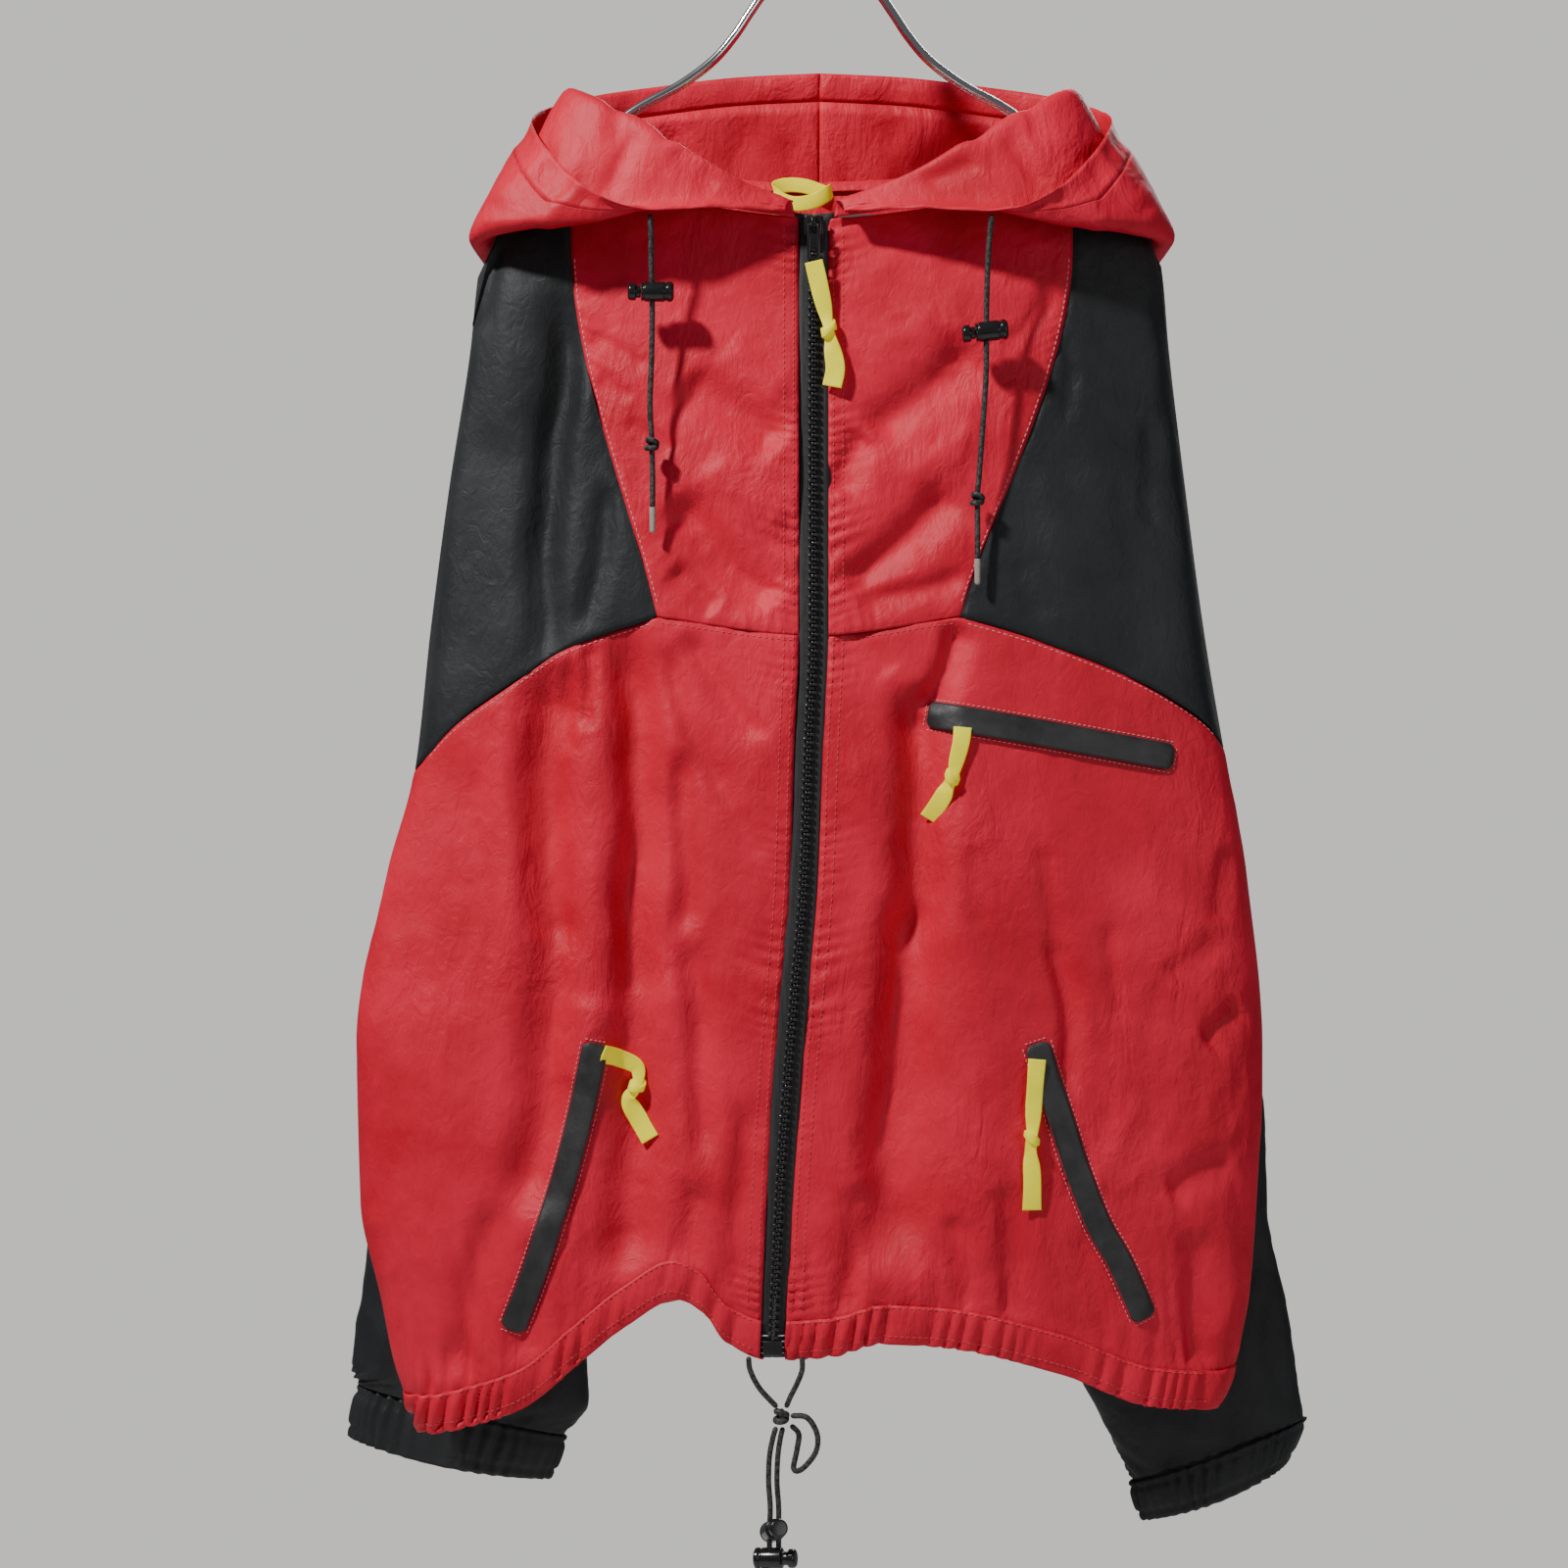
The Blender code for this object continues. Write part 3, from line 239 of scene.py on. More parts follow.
def place_on(tree, scale=(1, 1, 1)):
    """The spot on the piece in metres, stretched by scale."""
    spot = tree.nodes.new("ShaderNodeTexCoord")
    stretch = tree.nodes.new("ShaderNodeMapping")
    stretch.inputs["Scale"].default_value = scale
    tree.links.new(spot.outputs["Object"], stretch.inputs["Vector"])
    return stretch.outputs["Vector"]


def uneven_colour(tree, shader, value, dark, light):
    """Colour that wanders between dark and light with a texture's value."""
    ramp = tree.nodes.new("ShaderNodeValToRGB")
    ramp.color_ramp.elements[0].position = 0.30
    ramp.color_ramp.elements[1].position = 0.72
    ramp.color_ramp.elements[0].color = (*dark, 1)
    ramp.color_ramp.elements[1].color = (*light, 1)
    tree.links.new(value, ramp.inputs["Fac"])
    tree.links.new(ramp.outputs["Color"], shader.inputs["Base Color"])


def raise_by(tree, shader, heights):
    """Bump from one or more (value, strength, distance in metres)."""
    below = None
    for value, strength, distance in heights:
        bump = tree.nodes.new("ShaderNodeBump")
        bump.inputs["Strength"].default_value = strength
        bump.inputs["Distance"].default_value = distance
        tree.links.new(value, bump.inputs["Height"])
        if below:
            tree.links.new(below, bump.inputs["Normal"])
        below = bump.outputs["Normal"]
    tree.links.new(below, shader.inputs["Normal"])


def uneven_gloss(tree, shader, value, low, high):
    spread = tree.nodes.new("ShaderNodeMapRange")
    spread.inputs["To Min"].default_value = low
    spread.inputs["To Max"].default_value = high
    tree.links.new(value, spread.inputs["Value"])
    tree.links.new(spread.outputs["Result"], shader.inputs["Roughness"])


# %% Braided cord, whipped end and moulded lock
def cord_finish():
    finish, tree, shader = new_finish("black_braid", (0.014, 0.014, 0.015), 0.62, sheen=0.05)
    place = place_on(tree)
    fleck = texture(tree, "ShaderNodeTexVoronoi", place, Scale=520.0)
    uneven_colour(tree, shader, fleck.outputs["Distance"], (0.060, 0.056, 0.052), (0.008, 0.008, 0.009))
    fibre = texture(tree, "ShaderNodeTexNoise", place, Scale=2600.0, Detail=3.0)
    raise_by(tree, shader, [(fibre.outputs["Fac"], 0.35, 0.0003)])
    return finish


def moulded_finish(name, colour, roughness):
    finish, tree, shader = new_finish(name, colour, roughness, coat=0.15)
    place = place_on(tree)
    haze = texture(tree, "ShaderNodeTexNoise", place, Scale=90.0, Detail=4.0)
    uneven_gloss(tree, shader, haze.outputs["Fac"], roughness * 0.75, roughness * 1.35)
    grain = texture(tree, "ShaderNodeTexNoise", place, Scale=1800.0, Detail=2.0)
    raise_by(tree, shader, [(grain.outputs["Fac"], 0.12, 0.0002)])
    return finish


BRAID = cord_finish()
MOULDED = moulded_finish("black_moulding", (0.014, 0.014, 0.015), 0.32)
LOCK = moulded_finish("lock_moulding", (0.011, 0.011, 0.012), 0.20)
TIP_SLEEVE = moulded_finish("clear_tip", (0.36, 0.31, 0.27), 0.25)
print("cord finishes made")

# %% [markdown]
# ## The drawcords
# Two round braided cords come out of the hood's casing and hang down the chest; each
# carries a spring lock, ends in a knot and is whipped with a clear sleeve. The hem's
# cord comes out beside the zip, is knotted, and its doubled end runs through two more
# locks. A braid is two sets of strands that wind opposite ways, so the tube's radius
# rises and falls with the product of two waves that turn opposite ways.

# %% Routes of the cords, and the braid
CORD = 3.6
HOOD_CORD_RIGHT = [(-102.5, -52.6, -275.9), (-102, -50.6, -290), (-102, -49, -304), (-101.5, -46, -330),
                   (-102, -44, -360), (-103, -43, -388), (-102, -42.5, -408), (-101.5, -42, -430),
                   (-101.5, -42, -450)]
HOOD_CORD_LEFT = [(101, -52.6, -275.9), (99.5, -50.6, -292), (98.5, -49, -312), (98, -47, -339),
                  (98, -45, -370), (96, -44, -402), (94, -43, -430), (93, -43, -441), (93, -43, -462),
                  (93, -43, -481)]
HEM_CORD_RIGHT = [(-44, -47, -957), (-43, -47, -965), (-38, -47, -975), (-31, -47, -983), (-27, -46, -987.2)]
HEM_CORD_LEFT = [(-12, -45.3, -957.5), (-12, -46.6, -965), (-15, -47, -973), (-19, -47, -981),
                 (-21.6, -46, -987.4)]
HEM_LOOP = [(-18.6, -46.6, -992.2), (-9, -49, -993), (-3, -49, -1003), (-4, -48, -1014), (-12, -47, -1024),
            (-17, -46, -1024), (-15, -44, -1013), (-14, -43, -1004), (-18.6, -44.4, -998.4)]
HEM_TAIL_RIGHT = [(-27.5, -46, -999.2), (-29.5, -46, -1006), (-31.5, -46, -1017), (-32, -46, -1032),
                  (-31, -46, -1047), (-31.5, -46, -1061), (-31.5, -46, -1070), (-31.5, -46, -1085),
                  (-36, -46, -1094), (-42, -46, -1099), (-43, -46, -1108)]
HEM_TAIL_LEFT = [(-23.4, -46, -999.4), (-25, -46, -1006), (-26.5, -46, -1017), (-27, -46, -1032),
                 (-26, -46, -1047), (-26, -46, -1061), (-26, -46, -1070), (-26, -46, -1084),
                 (-22, -46, -1091), (-15, -46, -1094), (-8, -46, -1097)]
BRAID_STEP = 0.75                 # millimetres between rings of the braid
BRAID_SIDES = 16
STRANDS = 4                       # strands that wind each way
BRAID_TURN = 11.0                 # length of one turn of a strand
BRAID_RELIEF = 0.07               # rise of a strand as a share of the radius
CORD_END = (0.55, 0.85, 1.0)      # how the last rings close
PATH_POINTS = 30


def braided(name, route, nodes, diameter=CORD):
    line = flowing(route, int(length_of(flowing(route, 60)) / BRAID_STEP) + 2)
    points, run = [], 0.0
    rings = frames_along(line)
    for k, (here, _, side, other) in enumerate(rings):
        run += (line[k] - line[k - 1]).length if k else 0.0
        end = min(k, len(rings) - 1 - k)
        closing = CORD_END[min(end, 2)]
        for i in range(BRAID_SIDES):
            angle = 2 * math.pi * i / BRAID_SIDES
            turn = 2 * math.pi * run / BRAID_TURN
            woven = math.sin(STRANDS * angle + STRANDS * turn) * math.sin(STRANDS * angle - STRANDS * turn)
            radius = diameter / 2 * (1 - BRAID_RELIEF + BRAID_RELIEF * woven) * closing
            points.append(here + (side * math.cos(angle) + other * math.sin(angle)) * radius)
    piece = shaped(name, (points, tube_faces(len(rings), BRAID_SIDES)), BRAID, nodes=nodes, slot="drawcord")
    return piece, [p * MM for p in flowing(route, PATH_POINTS)]


# %% Lofts and turned pieces
def strip(line, widths, depths, turns=None, sides=14, square=0.35):
    """Flat strip lofted along a line, with a half width, half depth and turn for each point."""
    points = []
    for k, here in enumerate(line):
        ahead = heading(line, k)
        across = Vector((0, 1, 0)).cross(ahead).normalized()
        out = ahead.cross(across)
        if turns:
            c, s = math.cos(turns[k]), math.sin(turns[k])
            across, out = across * c + out * s, out * c - across * s
        for i in range(sides):
            angle = 2 * math.pi * (i + 0.5) / sides
            wide, deep = squared(math.cos(angle), square), squared(math.sin(angle), 0.6)
            points.append(here + across * widths[k] * wide + out * depths[k] * deep)
    return points, tube_faces(len(line), sides)


def joined(*parts):
    """Several (points, faces) as one."""
    points, faces = [], []
    for more, more_faces in parts:
        first = len(points)
        points += list(more)
        faces += [[first + i for i in face] for face in more_faces]
    return points, faces

# %% [markdown]
# ## Locks, knots and whipped ends
# A cord lock is a barrel with a sprung plunger; the cord runs through both. Turned
# profiles with small rounded edges catch the light as moulded parts do. An overhand
# knot in a round cord shows three turns that lean over each other.

# %% Cord fittings
def turned(profile, centre, axis, sides=40):
    """Round piece from (radius, along) points about an axis."""
    turn = Vector(axis).normalized().to_track_quat("Z", "Y")
    points = []
    for radius, along in profile:
        for k in range(sides):
            angle = 2 * math.pi * k / sides
            spoke = Vector((radius * math.cos(angle), radius * math.sin(angle), along))
            points.append(Vector(centre) + turn @ spoke)
    return points, tube_faces(len(profile), sides)


def rounded(profile, radius=0.45, steps=3):
    """The profile with each inner corner made round."""
    out = [profile[0]]
    for before, corner, after in zip(profile, profile[1:], profile[2:]):
        a, b, c = Vector(before), Vector(corner), Vector(after)
        reach = min(radius, (a - b).length * 0.45, (c - b).length * 0.45)
        p, q = b + (a - b).normalized() * reach, b + (c - b).normalized() * reach
        for k in range(steps + 1):
            t = k / steps
            out.append(tuple(p * (1 - t) ** 2 + b * 2 * t * (1 - t) + q * t * t))
    return out + [profile[-1]]


# Profiles as radius and place along the axis
BARREL = [(0.5, -13.0), (4.4, -13.0), (6.0, -11.6), (6.0, -9.4), (5.4, -9.0), (5.4, -7.6), (6.0, -7.2),
          (6.0, 4.2), (5.3, 4.6), (5.3, 5.6), (5.6, 6.0), (5.6, 6.4), (0.5, 6.6)]
KNOB = [(0.5, 6.7), (3.6, 6.9), (3.6, 9.4), (5.2, 9.8), (5.2, 13.0), (4.4, 14.3), (0.5, 14.4)]
HEM_LOCK = [(0.5, -12), (4.6, -12), (6.4, -11), (6.4, -8.8), (5.8, -8.4), (5.8, -7.4), (6.4, -7.0), (6.4, 5),
            (4.0, 5.8), (4.0, 9), (5.6, 9.4), (5.6, 12.6), (4.6, 13.6), (0.5, 13.6)]
TIP = [(0.4, 0.8), (1.95, 0.6), (2.0, -3.6), (1.85, -4.4), (1.9, -5.2), (1.75, -13.4), (1.3, -14.6),
       (0.4, -14.8)]
KNOT_POINTS = 140


def at_height(route, z):
    return min(flowing(route, 120), key=lambda p: abs(p.z - z))


def knot_turns(centre, axis, radius, cord, turns, tall):
    """Cord wound round itself: a closed wavy ring that leans as it goes round."""
    turn = Vector(axis).normalized().to_track_quat("Z", "Y")
    line = []
    for k in range(KNOT_POINTS):
        angle = 2 * math.pi * turns * k / (KNOT_POINTS - 1)
        lean = tall * math.sin(angle / turns + 0.4)
        spoke = Vector((radius * math.cos(angle), radius * math.sin(angle) * 0.9, lean))
        line.append(Vector(centre) + turn @ spoke)
    return strip(line, [cord] * KNOT_POINTS, [cord] * KNOT_POINTS, sides=12, square=1.0)


# %% Fittings in place
fittings = {}


def fit(cord_name, name, shape, finish, node, slot):
    """A dressed fitting takes the place of a plain one on its cord."""
    fittings.setdefault(cord_name, []).append(shaped(name, shape, finish, nodes=[node], slot=slot))


for word, route, z, knot_z, slant in (("right", HOOD_CORD_RIGHT, -321, -412, 0.0),
                                      ("left", HOOD_CORD_LEFT, -345, -445, -0.12)):
    cord_name, at, axis = "hood_" + word, at_height(route, z), (-1, 0, slant)
    fit(cord_name, "hood_lock_barrel_" + word, turned(rounded(BARREL), at, axis), LOCK,
        "hood_lock_" + word, "cord_lock")
    fit(cord_name, "hood_lock_knob_" + word, turned(rounded(KNOB), at, axis), LOCK,
        "hood_lock_plunger_" + word, "cord_lock")
    knot = knot_turns(at_height(route, knot_z), (0.15, 0, 1), 3.0, 1.7, 2, 2.6)
    fit(cord_name, "hood_cord_knot_" + word, knot, BRAID, "hood_knot_" + word, "drawcord")
    fit(cord_name, "hood_cord_end_" + word, turned(rounded(TIP, 0.3), Vector(route[-1]), (0, 0, 1), 24),
        TIP_SLEEVE, "hood_tip_" + word, "cord_tip")
centre = (-24.4, -45.5, -992.8)
knot = joined(knot_turns(centre, (0.1, 0, 1), 3.3, 1.9, 2, 2.8),
              knot_turns(centre, (1, 0.3, 0.5), 2.6, 1.7, 1, 1.5))
fit("hem_cord_right", "hem_cord_knot", knot, BRAID, "hem_knot", "drawcord")
for word, z, axis in (("upper", -1061, (0.25, -1, 0.35)), ("lower", -1077.5, (1, -0.25, 0.06))):
    centre = (at_height(HEM_TAIL_RIGHT, z) + at_height(HEM_TAIL_LEFT, z)) / 2
    fit("hem_tail_right", "hem_lock_barrel_" + word, turned(rounded(HEM_LOCK), centre, axis), LOCK,
        "hem_lock_" + word, "cord_lock")

# %% The cords in place
for word, route in (("right", HOOD_CORD_RIGHT), ("left", HOOD_CORD_LEFT)):
    cord, path = braided("hood_drawcord_" + word, route, ["hood_cord_" + word])
    print(cord.name, round(length_of(path), 3), "m")
for name, route, node, end in (("hem_drawcord_right", HEM_CORD_RIGHT, "hem_cord_right", "knot"),
                               ("hem_drawcord_left", HEM_CORD_LEFT, "hem_cord_left", "knot"),
                               ("hem_drawcord_loop", HEM_LOOP, "hem_cord_loop", "knot"),
                               ("hem_drawcord_tail_right", HEM_TAIL_RIGHT, "hem_tail_right", "bare"),
                               ("hem_drawcord_tail_left", HEM_TAIL_LEFT, "hem_tail_left", "bare")):
    cord, path = braided(name, route, [node])
    print(cord.name, round(length_of(path), 3), "m")

# %% [markdown]
# ## The shape of the hung body
# Laid over a hanger, the jacket is a flattened tube. Each height has a left edge, a
# right edge and two depths; a rounded oval joins them, and near the shoulder the depth
# closes up towards the line where the cloth lies over the hanger's arm. All panels are
# cut from this one surface, so they meet at their seams without any fitting.

# %% Tables of the body: sections, seams and hem
FLATNESS = 2.6        # 2 gives an oval section, more gives flatter sides
CROWN = 46.0          # height over which the body closes up below the ridge
CASING = 22.0         # height of the hem's casing
SIDE_WRAP = 14.0      # how far the fronts go round the sides
# Body section by height: height, right edge, left edge, depth to the front, to the back
SECTIONS = [
    (-225, -185, 185, 20, 19),
    (-262, -192, 192, 24, 22),
    (-283, -202, 203, 25, 23),
    (-297, -209, 208, 26, 24),
    (-351, -215, 213, 29, 25),
    (-435, -228, 223, 33, 27),
    (-519, -239, 234, 38, 29),
    (-608, -249, 249, 43, 31),
    (-668, -265, 260, 46, 33),
    (-777, -284, 270, 49, 35),
    (-871, -282, 266, 50, 36),
    (-927, -270, 262, 47, 35),
    (-973, -260, 252, 42, 33),
    (-1012, -244, 240, 38, 30),
]
# Cloth line over the hanger's arm, both sides alike: distance from the middle, height
RIDGE = [(40, -120), (86, -180), (120, -201), (150, -221), (175, -243), (190, -261), (203, -284), (215, -320)]
TAPE_TOP = 8.6        # half the width of tape that shows, above the yoke seam and at the hem
TAPE_HEM = 7.0
# Zip centre line: height, x
ZIP_LINE = [(-270, -5), (-519, -5), (-591, -8), (-675, -11), (-735, -16), (-795, -21),
            (-855, -25), (-915, -28), (-962, -30)]
# Neck seam, both sides alike: distance from the middle, front height, back height
NECK = [(0, -274, -251), (55, -268, -250), (95, -258, -246), (128, -243, -238), (152, -228, -227)]
# Raglan seam: height, right x, left x
RAGLAN = [(-215, -153, 153), (-292, -152, 152), (-515, -99, 83)]
# Yoke seam between the raglan seams: x, height
YOKE = [(-99, -515), (-5, -526), (83, -515)]
# Armhole seam outside the raglan seams, both sides: x, height
ARMHOLE_RIGHT = [(-249, -608), (-223, -581), (-192, -559), (-154, -534), (-99, -515)]
ARMHOLE_LEFT = [(83, -515), (121, -526), (155, -538), (189, -552), (214, -565), (236, -580), (249, -598)]
# Lower edge of the hem: x, front height, back height
HEM = [
    (-262, -1008, -1006), (-240, -1007, -1003), (-213, -1000, -990), (-181, -988, -972), (-150, -962, -953),
    (-119, -937, -941), (-89, -921, -934), (-73, -928, -932), (-57, -948, -932), (-30, -958, -933),
    (5, -956, -936), (37, -948, -940), (73, -950, -945), (145, -967, -962), (200, -988, -983),
    (240, -992, -990), (262, -990, -990),
]
# Hanging sleeve below the armhole: outer x, outer height, inner x, inner height, y, half depth
SLEEVE_RIGHT = [
    (-249, -608, -99, -515, 36, 6),
    (-256, -660, -106, -600, 58, 15),
    (-264, -730, -114, -690, 61, 17),
    (-273, -800, -126, -780, 62, 18),
    (-282, -868, -138, -860, 62, 19),
    (-288, -930, -149, -930, 61, 20),
    (-294, -980, -147, -1002, 60, 20),
    (-290, -993, -161, -1025, 59, 17),
]
SLEEVE_LEFT = [
    (249, -598, 83, -515, 36, 6),
    (257, -660, 92, -600, 58, 15),
    (268, -750, 106, -700, 61, 17),
    (280, -820, 124, -790, 62, 18),
    (284, -884, 142, -880, 62, 19),
    (294, -940, 156, -968, 61, 20),
    (301, -990, 176, -1016, 60, 20),
    (306, -1014, 196, -1054, 59, 17),
]
# Cuff below the sleeve, in the same columns
CUFF_RIGHT = [(-290, -993.8, -161, -1025.8, 59, 17), (-297, -1027, -171, -1053, 59, 15)]
CUFF_LEFT = [(306, -1014.8, 196, -1054.8, 59, 17), (294, -1044, 204, -1079, 59, 15)]


# %% The surface at any place
def section(z):
    left, right = spline(SECTIONS, z, 1), spline(SECTIONS, z, 2)
    return (left + right) / 2, (right - left) / 2, spline(SECTIONS, z, 3), spline(SECTIONS, z, 4)


# Long soft folds of the front: x at top, top, x at foot, foot, width, height of the ridge
FRONT_FOLDS = [
    (-128, -530, -170, -960, 24, 3.2),
    (-80, -540, -112, -900, 22, -3.0),
    (40, -540, 62, -930, 22, -3.0),
    (82, -620, 104, -960, 22, 3.0),
    (-215, -640, -228, -960, 24, 3.0),
    (-170, -300, -150, -520, 20, -2.4),
    (172, -300, 190, -560, 20, -2.4),
    (-100, -300, -30, -470, 22, 2.4),
    (95, -300, 25, -470, 22, 2.4),
]
# Long soft folds of the back, in the same columns
BACK_FOLDS = [
    (-60, -530, -90, -930, 24, 3.0),
    (20, -530, 10, -930, 24, -3.0),
    (78, -540, 110, -950, 24, 3.0),
]


def fold_height(x, z, side):
    """How far the long folds push the cloth out at a place on the front (-1) or the back (+1)."""
    total = 0.0
    for x_top, top, x_foot, foot, width, height in (FRONT_FOLDS if side < 0 else BACK_FOLDS):
        along = (top - z) / (top - foot)
        if 0 < along < 1:
            across = (x - mix(x_top, x_foot, along)) / width
            total += height * math.sin(math.pi * along) * math.exp(-across * across)
    return total


def body_point(x, z, side):
    """Point of the body's surface at x and z, on the front (-1) or the back (+1)."""
    centre, half, front, back = section(z)
    depth = front if side < 0 else back
    s = min(max((x - centre) / half, -1.0), 1.0)
    c = max(1 - abs(s) ** FLATNESS, 0.0) ** (1 / FLATNESS)
    q = min(max((spline(RIDGE, abs(x), 1) - z) / CROWN, 0.0), 1.0)
    m = math.sqrt(1 - (1 - q) ** 2)
    return (x, side * (depth * c * m + fold_height(x, z, side) * c * m), z)


def edge_x(z, hand):
    return spline(SECTIONS, z, 1 if hand < 0 else 2)


def raglan_x(z, hand):
    return spline(RAGLAN, z, 1 if hand < 0 else 2)


def zip_x(z):
    return spline(ZIP_LINE, z, 1)


def tape_half(z):
    along = min(max((z + 519) / (-962 + 519), 0), 1)
    return mix(TAPE_TOP, TAPE_HEM, along)


def hem_z(x, side):
    return spline(HEM, x, 1 if side < 0 else 2)


def neck_z(x, side):
    return spline(NECK, abs(x), 1 if side < 0 else 2)


def armhole_z(x, hand):
    return spline(ARMHOLE_RIGHT if hand < 0 else ARMHOLE_LEFT, x, 1)


def seam_z(x, hand):
    """Height of the yoke seam, and outside the raglan seam of the armhole seam."""
    corner = ARMHOLE_RIGHT[-1][0] if hand < 0 else ARMHOLE_LEFT[0][0]
    return spline(YOKE, x, 1) if abs(x) < abs(corner) else armhole_z(x, hand)

# %% [markdown]
# ## Crumpled nylon
# Thin nylon never lies smooth. Three kinds of relief lie over each other: a few large
# folds that the cloth's weight draws, given in a table; puckers where thread
# pulls a seam short; and a shallow crumple all over, strong in some patches and nearly
# gone in others. Noise that is bent by other noise gives the crumple, because straight
# noise looks like hammered metal.

# %% Folds given in tables
# x and height where the fold starts, x and height where it ends, half width, depth (- is a ridge)
CHEST_FOLDS = [
    (-83, -366, -23, -414, 12, 6.8), (-91, -440, -26, -509, 11, 7.4), (-91, -484, -60, -509, 7, 3.4),
    (-141, -340, -103, -364, 5, 1.6), (-135, -368, -112, -379, 4, 1.2), (-119, -396, -89, -419, 5, 1.6),
    (-60, -350, -18, -380, 9, -1.6), (-70, -420, -20, -462, 9, -2),
    (96, -348, 28, -408, 12, 6.8), (30, -404, 6, -439, 8, 4.1), (85, -436, 14, -503, 10, 6.8),
    (89, -484, 18, -510, 6, 3.5), (139, -322, 108, -349, 6, 2.2), (97, -396, 50, -438, 8, -2),
    (70, -330, 20, -362, 10, -1.4), (62, -470, 16, -508, 6, -1.6),
]
SHOULDER_FOLDS = [
    (-157, -305, -172, -556, 9, 10.8), (-144, -330, -157, -540, 8, -2.4), (-131, -430, -143, -530, 5, 4.3),
    (-199, -280, -212, -340, 6, 4.7), (-186, -300, -192, -420, 12, -1.6), (-200, -380, -222, -560, 16, 2.2),
    (146, -340, 148, -400, 4, 1.6), (198, -390, 204, -465, 4, 2.4), (119, -480, 128, -518, 5, 1.8),
    (207, -310, 213, -400, 6, 1.8), (166, -360, 174, -500, 16, -1.8), (182, -420, 196, -560, 12, 1.8),
    (132, -420, 150, -530, 10, -1.2),
]
FRONT_FOLDS_FINE = [
    (-168, -535, -164, -735, 13, 14), (-164, -705, -174, -880, 13, 11), (-186, -560, -184, -800, 14, -2.2),
    (-115, -512, -109, -775, 12, 13), (-109, -740, -122, -915, 13, 10), (-96, -530, -96, -800, 10, -2.4),
    (-88, -590, -82, -712, 6, 5), (-82, -700, -70, -850, 7, 5.6), (-142, -528, -140, -585, 4, 3.4),
    (-153, -540, -151, -600, 4, 2.2), (-97, -528, -57, -632, 6, 3.6), (-60, -618, -34, -662, 5, 1.6),
    (-85, -522, -32, -590, 6, 3.4), (-205, -590, -240, -760, 20, 1.8), (-140, -740, -150, -800, 12, -2.5),
    (82, -516, 60, -572, 7, 7), (61, -550, 51, -722, 12, 12.5), (50, -680, 38, -915, 14, 12),
    (74, -560, 70, -800, 12, -2.2), (34, -560, 26, -800, 12, -1.8), (136, -650, 139, -712, 5, 1.8),
    (138, -700, 149, -805, 5, 4.2), (89, -650, 91, -705, 5, 1.4), (175, -695, 175, -762, 5, 1.6),
    (257, -750, 228, -770, 7, 3.6), (240, -705, 205, -730, 7, 2), (14, -523, 42, -551, 6, 2),
    (250, -840, 206, -862, 9, 3.6), (246, -650, 236, -700, 6, 2), (190, -800, 160, -862, 10, -1.8),
    (-40, -800, -60, -925, 7, 3.6), (-75, -850, -92, -925, 8, 4.2), (-200, -860, -220, -980, 9, 4.2),
    (-175, -880, -180, -965, 7, 3.4), (110, -850, 118, -945, 7, 3.6), (20, -850, 14, -945, 7, 3.9),
    (80, -870, 84, -940, 7, 3.6), (225, -880, 226, -975, 8, 3.6),
]
BACK_FOLDS_FINE = [
    (-120, -545, -138, -780, 10, 6.0), (-60, -530, -70, -840, 10, -2.4), (-10, -530, -4, -760, 9, 5.0),
    (58, -528, 66, -800, 10, 6.5), (120, -545, 146, -820, 11, 5.0), (-170, -600, -196, -900, 12, 3.0),
    (180, -600, 205, -900, 12, 3.0), (-90, -830, -110, -930, 8, 3.0), (20, -800, 10, -915, 8, 3.0),
    (110, -830, 118, -945, 8, 3.0), (-30, -820, -44, -915, 7, 2.4), (62, -840, 70, -925, 7, 2.4),
    (-96, -300, -40, -420, 11, 3.6), (96, -300, 40, -430, 11, 3.6), (-70, -420, -20, -500, 9, 3.0),
    (70, -420, 24, -500, 9, 3.0), (0, -300, 4, -500, 16, -1.6),
]
SLEEVE_FOLDS = [
    (-262, -650, -250, -780, 9, 3.4), (-150, -620, -230, -700, 9, 4.0), (-130, -700, -240, -760, 9, 4.0),
    (-270, -800, -180, -850, 9, 4.0), (-150, -860, -240, -910, 9, 3.6), (-270, -900, -200, -960, 8, 3.2),
    (-230, -940, -236, -1010, 5, 2.4), (-262, -930, -266, -1000, 5, 2.2), (-190, -950, -186, -1020, 5, 2.4),
    (262, -650, 250, -780, 9, 3.4), (140, -620, 226, -700, 9, 4.0), (124, -700, 236, -770, 9, 4.0),
    (276, -800, 178, -850, 9, 4.0), (160, -860, 250, -915, 9, 3.6), (284, -900, 210, -960, 8, 3.2),
    (250, -960, 256, -1035, 5, 2.4), (282, -940, 286, -1010, 5, 2.2), (214, -980, 218, -1050, 5, 2.4),
]


# %% Relief of the cloth at every point of a grid
NOISE_SEED = 5
noise.seed_set(NOISE_SEED)        # noise_vector's offsets are drawn at random unless a seed fixes them
FOLD_DEPTH = 1.15                 # every fold of the tables is pressed this much deeper than its row says
FAR_WALL = 1.4                    # width of a fold's slack wall over its steep one
FADE_RISE = 1.8                   # how soon a fold reaches its full depth from its ends


